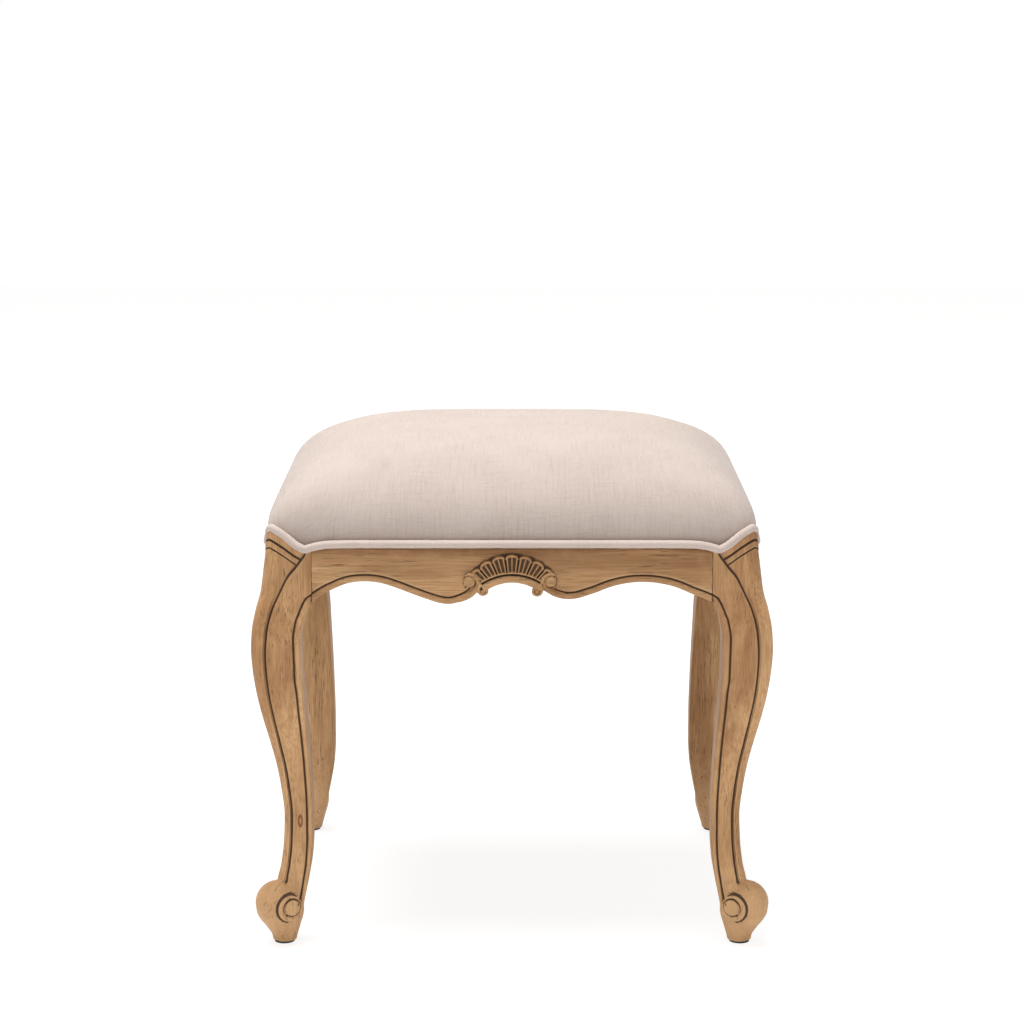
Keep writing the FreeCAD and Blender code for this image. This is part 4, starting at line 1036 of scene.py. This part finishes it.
# seat: linen pulled over a crowned pad
seatShape = {
    "halfX": 242.5,
    "halfY": 199.5,
    "low": 403.8,
    "height": 92.8,
    "power": 2.92,
    "cornerLow": 17.0,
    "cornerHigh": 4.5,
    "cornerRise": 0.35,
    "startIn": 0.8,
    "tuck": 0.013,
    "mostMove": 3.5,
    "evening": 14,
    "pressure": 4.0,
    "frames": 20,
    "held": 3.0,
    "free": (12.0, 62.0),  # the stuffing moves the linen fully above the second of these
    "columns": 110,
    "rows": 92,
}


def seatPoint(s, t, shrink):
    a, b = math.radians(90) * s, math.radians(90) * t
    way = Vector((math.sin(a), math.sin(b), math.cos(a) * math.cos(b))).normalized()
    power = seatShape["power"]
    rise = abs(way.z)
    rounder = smooth(0.0, seatShape["cornerRise"], rise)
    corner = seatShape["cornerLow"] + (seatShape["cornerHigh"] - seatShape["cornerLow"]) * rounder
    x, y = abs(way.x) / (seatShape["halfX"] - shrink), abs(way.y) / (seatShape["halfY"] - shrink)
    z = rise / (seatShape["height"] - shrink)
    plan = (x ** corner + y ** corner) ** (1 / corner)
    scale = (plan ** power + z ** power) ** (-1 / power)
    spot = way * scale
    tuck = 1 - seatShape["tuck"] * (1 - smooth(0, 0.22, spot.z / seatShape["height"]))
    return Vector((spot.x * tuck, spot.y * tuck, seatShape["low"] + spot.z))


def buildSeat():
    columns, rows = seatShape["columns"], seatShape["rows"]
    shrink = seatShape["startIn"]
    spots = [[seatPoint(2 * column / columns - 1, 2 * row / rows - 1, shrink) for column in range(columns + 1)]
             for row in range(rows + 1)]

    def underside(column, row):
        s, t = 2 * column / columns - 1, 2 * row / rows - 1
        most = max(abs(s), abs(t))
        edge = seatPoint(s / most, t / most, shrink) if most else Vector((0, 0, 0))
        return Vector((edge.x * most, edge.y * most, seatShape["low"]))

    bm = mappedGrid(columns, rows, lambda column, row: spots[row][column])
    weave = bm.loops.layers.uv.new("weave")
    # threads lie at equal steps along the cloth, both ways
    warp = np.array([[spot[:] for spot in row] for row in spots])
    acrossLength = np.cumsum(np.linalg.norm(np.diff(warp, axis=1, prepend=warp[:, :1]), axis=2), axis=1)
    alongLength = np.cumsum(np.linalg.norm(np.diff(warp, axis=0, prepend=warp[:1]), axis=2), axis=0)
    acrossLength -= acrossLength[:, columns // 2:columns // 2 + 1]
    alongLength -= alongLength[rows // 2:rows // 2 + 1]
    bm.verts.index_update()
    for face in bm.faces:
        for loop in face.loops:
            row, column = divmod(loop.vert.index, columns + 1)
            loop[weave].uv = (acrossLength[row, column] * mm, alongLength[row, column] * mm)
    addInto(bm, mappedGrid(columns, rows, underside))
    bmesh.ops.remove_doubles(bm, verts=bm.verts, dist=0.002)
    bmesh.ops.recalc_face_normals(bm, faces=bm.faces)
    return newObject("seatCushion", bm)


def inflate(piece):
    base = np.array([vert.co for vert in piece.data.vertices])
    held = piece.vertex_groups.new(name="held")
    low = (seatShape["low"] + seatShape["held"]) * mm
    held.add([i for i, co in enumerate(base) if co[2] < low], 1.0, "REPLACE")
    cloth = piece.modifiers.new("stuffing", "CLOTH")
    cloth.settings.use_pressure = True
    cloth.settings.uniform_pressure_force = seatShape["pressure"]
    cloth.settings.effector_weights.gravity = 0
    cloth.settings.vertex_group_mass = "held"
    cloth.settings.quality = 6
    cloth.point_cache.frame_start = 1
    cloth.point_cache.frame_end = seatShape["frames"]
    for step in range(1, seatShape["frames"] + 1):
        scene.frame_set(step)
    graph = bpy.context.evaluated_depsgraph_get()
    moved = np.array([vert.co for vert in piece.evaluated_get(graph).data.vertices])
    piece.modifiers.clear()
    scene.frame_set(1)
    shift = moved - base
    length = np.linalg.norm(shift, axis=1)
    most = seatShape["mostMove"] * mm
    shift *= np.minimum(1.0, most / np.maximum(length, 1e-9))[:, None]
    ends = np.array([edge.vertices[:] for edge in piece.data.edges])
    count = np.bincount(ends.ravel(), minlength=len(base))[:, None]
    for _ in range(seatShape["evening"]):  # evens out small creases
        total = np.zeros_like(shift)
        np.add.at(total, ends[:, 0], shift[ends[:, 1]])
        np.add.at(total, ends[:, 1], shift[ends[:, 0]])
        shift = 0.4 * shift + 0.6 * total / count
    free = [smooth(*seatShape["free"], height / mm - seatShape["low"]) for height in base[:, 2]]
    shift *= np.array(free)[:, None]
    for vert, co in zip(piece.data.vertices, base + shift):
        vert.co = co
    print("stuffing moved the linen by", round(float(length.max()) * 1000, 1), "mm at most")


seat = buildSeat()
inflate(seat)
rounding = seat.modifiers.new("rounding", "SUBSURF")
rounding.levels = 1
rounding.render_levels = 1
wear(coverLinen, seat)
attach(seat, "root")
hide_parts("seat_cover", "foam_pad", "wadding_layer")
print("seat stuffed")

pipingShape = {
    "radius": 4.0,
    "seat": 4.1,
    "inset": 1.0,
    "sideInset": 2.4,
    "earIn": 6.4,
    "ear": (-42.0, -14.0),
    "corner": 11.0,
    "steps": 1200,
    "around": 14,
}


def pipingPath():
    # one quarter by distances to the post faces, then round the stool
    quarter = []
    for along in (-230, -180, -130, -90, -66, -54, -47, -44, -42.4, -41, -38.5, -33, -28, -23, -19):
        ear = smooth(*pipingShape["ear"], along)
        out = -pipingShape["inset"] - (pipingShape["earIn"] - pipingShape["inset"]) * ear
        quarter.append((along, out))
    corner = pipingShape["corner"]
    middle = -pipingShape["earIn"] - corner
    for turn in (15, 30, 45):
        spot = math.radians(turn)
        quarter.append((middle + corner * math.sin(spot), middle + corner * math.cos(spot)))
    deeper = pipingShape["sideInset"] - pipingShape["inset"]
    quarter += [(v - deeper * (1 - smooth(*pipingShape["ear"], u)), u) for u, v in reversed(quarter[:-1])]
    points = []
    for xSign, ySign in ((1, -1), (1, 1), (-1, 1), (-1, -1)):
        ordered = quarter if xSign * ySign < 0 else list(reversed(quarter))
        for u, v in ordered:
            x, y = halfWidth + u, halfDepth + v
            if x < 8 or y < 8:
                continue
            height = railTop + readTable(earRise, min(u, v)) + pipingShape["seat"]
            points.append((xSign * x, ySign * y, height))
    return points


def buildPiping():
    path = evenPath(pipingPath(), pipingShape["steps"], closed=True)[:-1]
    around = pipingShape["around"]
    total = sum((path[i] - path[i - 1]).length for i in range(len(path)))

    def place(column, row):
        index = row % len(path)
        ahead = (path[(index + 1) % len(path)] - path[index - 1]).normalized()
        across = ahead.cross(Vector((0, 0, 1))).normalized()
        upward = across.cross(ahead).normalized()
        turn = 2 * math.pi * column / around
        radius = pipingShape["radius"] * (1 + 0.012 * math.sin(index * 0.61) + 0.01 * math.sin(index * 0.173 + 2))
        return path[index] + (across * math.cos(turn) + upward * math.sin(turn)) * radius

    bm = mappedGrid(around, len(path), place)
    weave = bm.loops.layers.uv.new("weave")
    bm.faces.ensure_lookup_table()
    girth = 2 * math.pi * pipingShape["radius"]
    for index, face in enumerate(bm.faces):
        row, column = divmod(index, around)
        for loop, (across, along) in zip(face.loops, ((0, 0), (1, 0), (1, 1), (0, 1))):
            loop[weave].uv = ((column + across) / around * girth * mm, (row + along) / len(path) * total * mm)
    closeUp(bm)
    piping = newObject("seatPiping", bm)
    wear(pipingLinen, piping)
    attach(piping, "root")
    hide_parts("seat_welt")


buildPiping()
print("piping laid")

dustShape = {"halfX": 229.0, "halfY": 189.0, "height": 403.1, "sag": 2.2, "thickness": 0.4, "columns": 30, "rows": 26}


def buildDustCover():
    columns, rows = dustShape["columns"], dustShape["rows"]

    def place(column, row):
        s, t = column / columns * 2 - 1, row / rows * 2 - 1
        sag = dustShape["sag"] * (1 - s * s) * (1 - t * t)
        return Vector((s * dustShape["halfX"], t * dustShape["halfY"], dustShape["height"] - sag))

    bm = mappedGrid(columns, rows, place)
    bmesh.ops.solidify(bm, geom=bm.faces[:], thickness=dustShape["thickness"])
    bmesh.ops.recalc_face_normals(bm, faces=bm.faces)
    cover = newObject("dustCover", bm)
    wear(dustCloth, cover)
    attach(cover, "root")
    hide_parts("dust_cover")


buildDustCover()

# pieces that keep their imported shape
for name, piece in nodes.items():
    if name.startswith("corner_block_screws") or name in ("seat_screws", "cover_staples"):
        wear(screwSteel, piece)
    elif name.startswith("corner_block"):
        wear(braceWood, piece)
    elif name.startswith("glide"):
        wear(glideBlack, piece)
    elif name == "seat_board":
        wear(boardWood, piece)
print("frame pieces finished")

# studio
studio = {
    "floor": srgb(250, 250, 250),
    "floorHalf": 6.0,
    "paper": (0.36, 0.36, 0.36, 1),
    "glow": 0.8,
    "worldColour": (1.0, 0.99, 0.975, 1),
    "worldLight": 0.5,
    "key": {"power": 84.0, "size": 2.0, "spot": (-0.4, 0.05, 3.0), "target": (0, 0, 0.4)},
    "fill": {"power": 8.0, "size": 1.6, "spot": (0.3, -3.0, 0.6), "target": (0, 0, 0.15)},
}
photoView = {"lens": 96.72, "spot": (0.0, -2.8181, 0.9363), "pitch": 10.75}


def areaLight(name, look):
    data = bpy.data.lights.new(name, "AREA")
    data.shape = "DISK"
    data.size = look["size"]
    data.energy = look["power"]
    lamp = bpy.data.objects.new(name, data)
    lamp.location = look["spot"]
    lamp.rotation_euler = (Vector(look["target"]) - Vector(look["spot"])).to_track_quat("-Z", "Y").to_euler()
    scene.collection.objects.link(lamp)


def whiteForCamera(material, seen, lit):
    # seen directly or in a reflection it is white, and it still lights the stool plainly
    tree = material.node_tree
    rays = tree.nodes.new("ShaderNodeLightPath")
    direct = Field(tree, rays.outputs["Is Camera Ray"])
    glossy = Field(tree, rays.outputs["Is Glossy Ray"])
    through = Field(tree, rays.outputs["Is Transmission Ray"])
    either = direct.maths("MAXIMUM", direct.maths("MAXIMUM", direct, glossy), through)
    mix = tree.nodes.new("ShaderNodeMixShader")
    tree.links.new(either.socket, mix.inputs[0])
    tree.links.new(lit, mix.inputs[1])
    tree.links.new(seen, mix.inputs[2])
    return mix.outputs[0]


world = bpy.data.worlds.new("studioWorld")
scene.world = world
world.use_nodes = True
worldTree = world.node_tree
ambient = worldTree.nodes["Background"]
ambient.inputs["Color"].default_value = studio["worldColour"]
ambient.inputs["Strength"].default_value = studio["worldLight"]
backdrop = worldTree.nodes.new("ShaderNodeBackground")
backdrop.inputs["Color"].default_value = (1, 1, 1, 1)
backdrop.inputs["Strength"].default_value = 1.0
worldTree.links.new(whiteForCamera(world, backdrop.outputs[0], ambient.outputs[0]),
                    worldTree.nodes["World Output"].inputs["Surface"])

floorMesh = bmesh.new()
bmesh.ops.create_grid(floorMesh, x_segments=8, y_segments=8, size=studio["floorHalf"])
floor = newObject("studioFloor", floorMesh, 1.0)
floorMaterial, floorShader, _ = startMaterial("studioFloor", studio["floor"], 0.9)
floorTree = floorMaterial.node_tree
paper = floorTree.nodes.new("ShaderNodeBsdfDiffuse")
paper.inputs["Color"].default_value = studio["paper"]
glow = floorTree.nodes.new("ShaderNodeEmission")
glow.inputs["Strength"].default_value = studio["glow"]
sheet = floorTree.nodes.new("ShaderNodeAddShader")
floorTree.links.new(paper.outputs[0], sheet.inputs[0])
floorTree.links.new(glow.outputs[0], sheet.inputs[1])
floorTree.links.new(whiteForCamera(floorMaterial, sheet.outputs[0], floorShader.outputs[0]),
                    floorTree.nodes["Material Output"].inputs["Surface"])
wear(floorMaterial, floor)

areaLight("keyLight", studio["key"])
areaLight("fillLight", studio["fill"])

lens = bpy.data.cameras.new("photoCamera")
lens.lens = photoView["lens"]
lens.sensor_width = 36.0
camera = bpy.data.objects.new("photoCamera", lens)
camera.location = photoView["spot"]
camera.rotation_euler = (math.radians(90 - photoView["pitch"]), 0, 0)
scene.collection.objects.link(camera)
scene.camera = camera
scene.view_settings.view_transform = "Standard"
print("studio set")
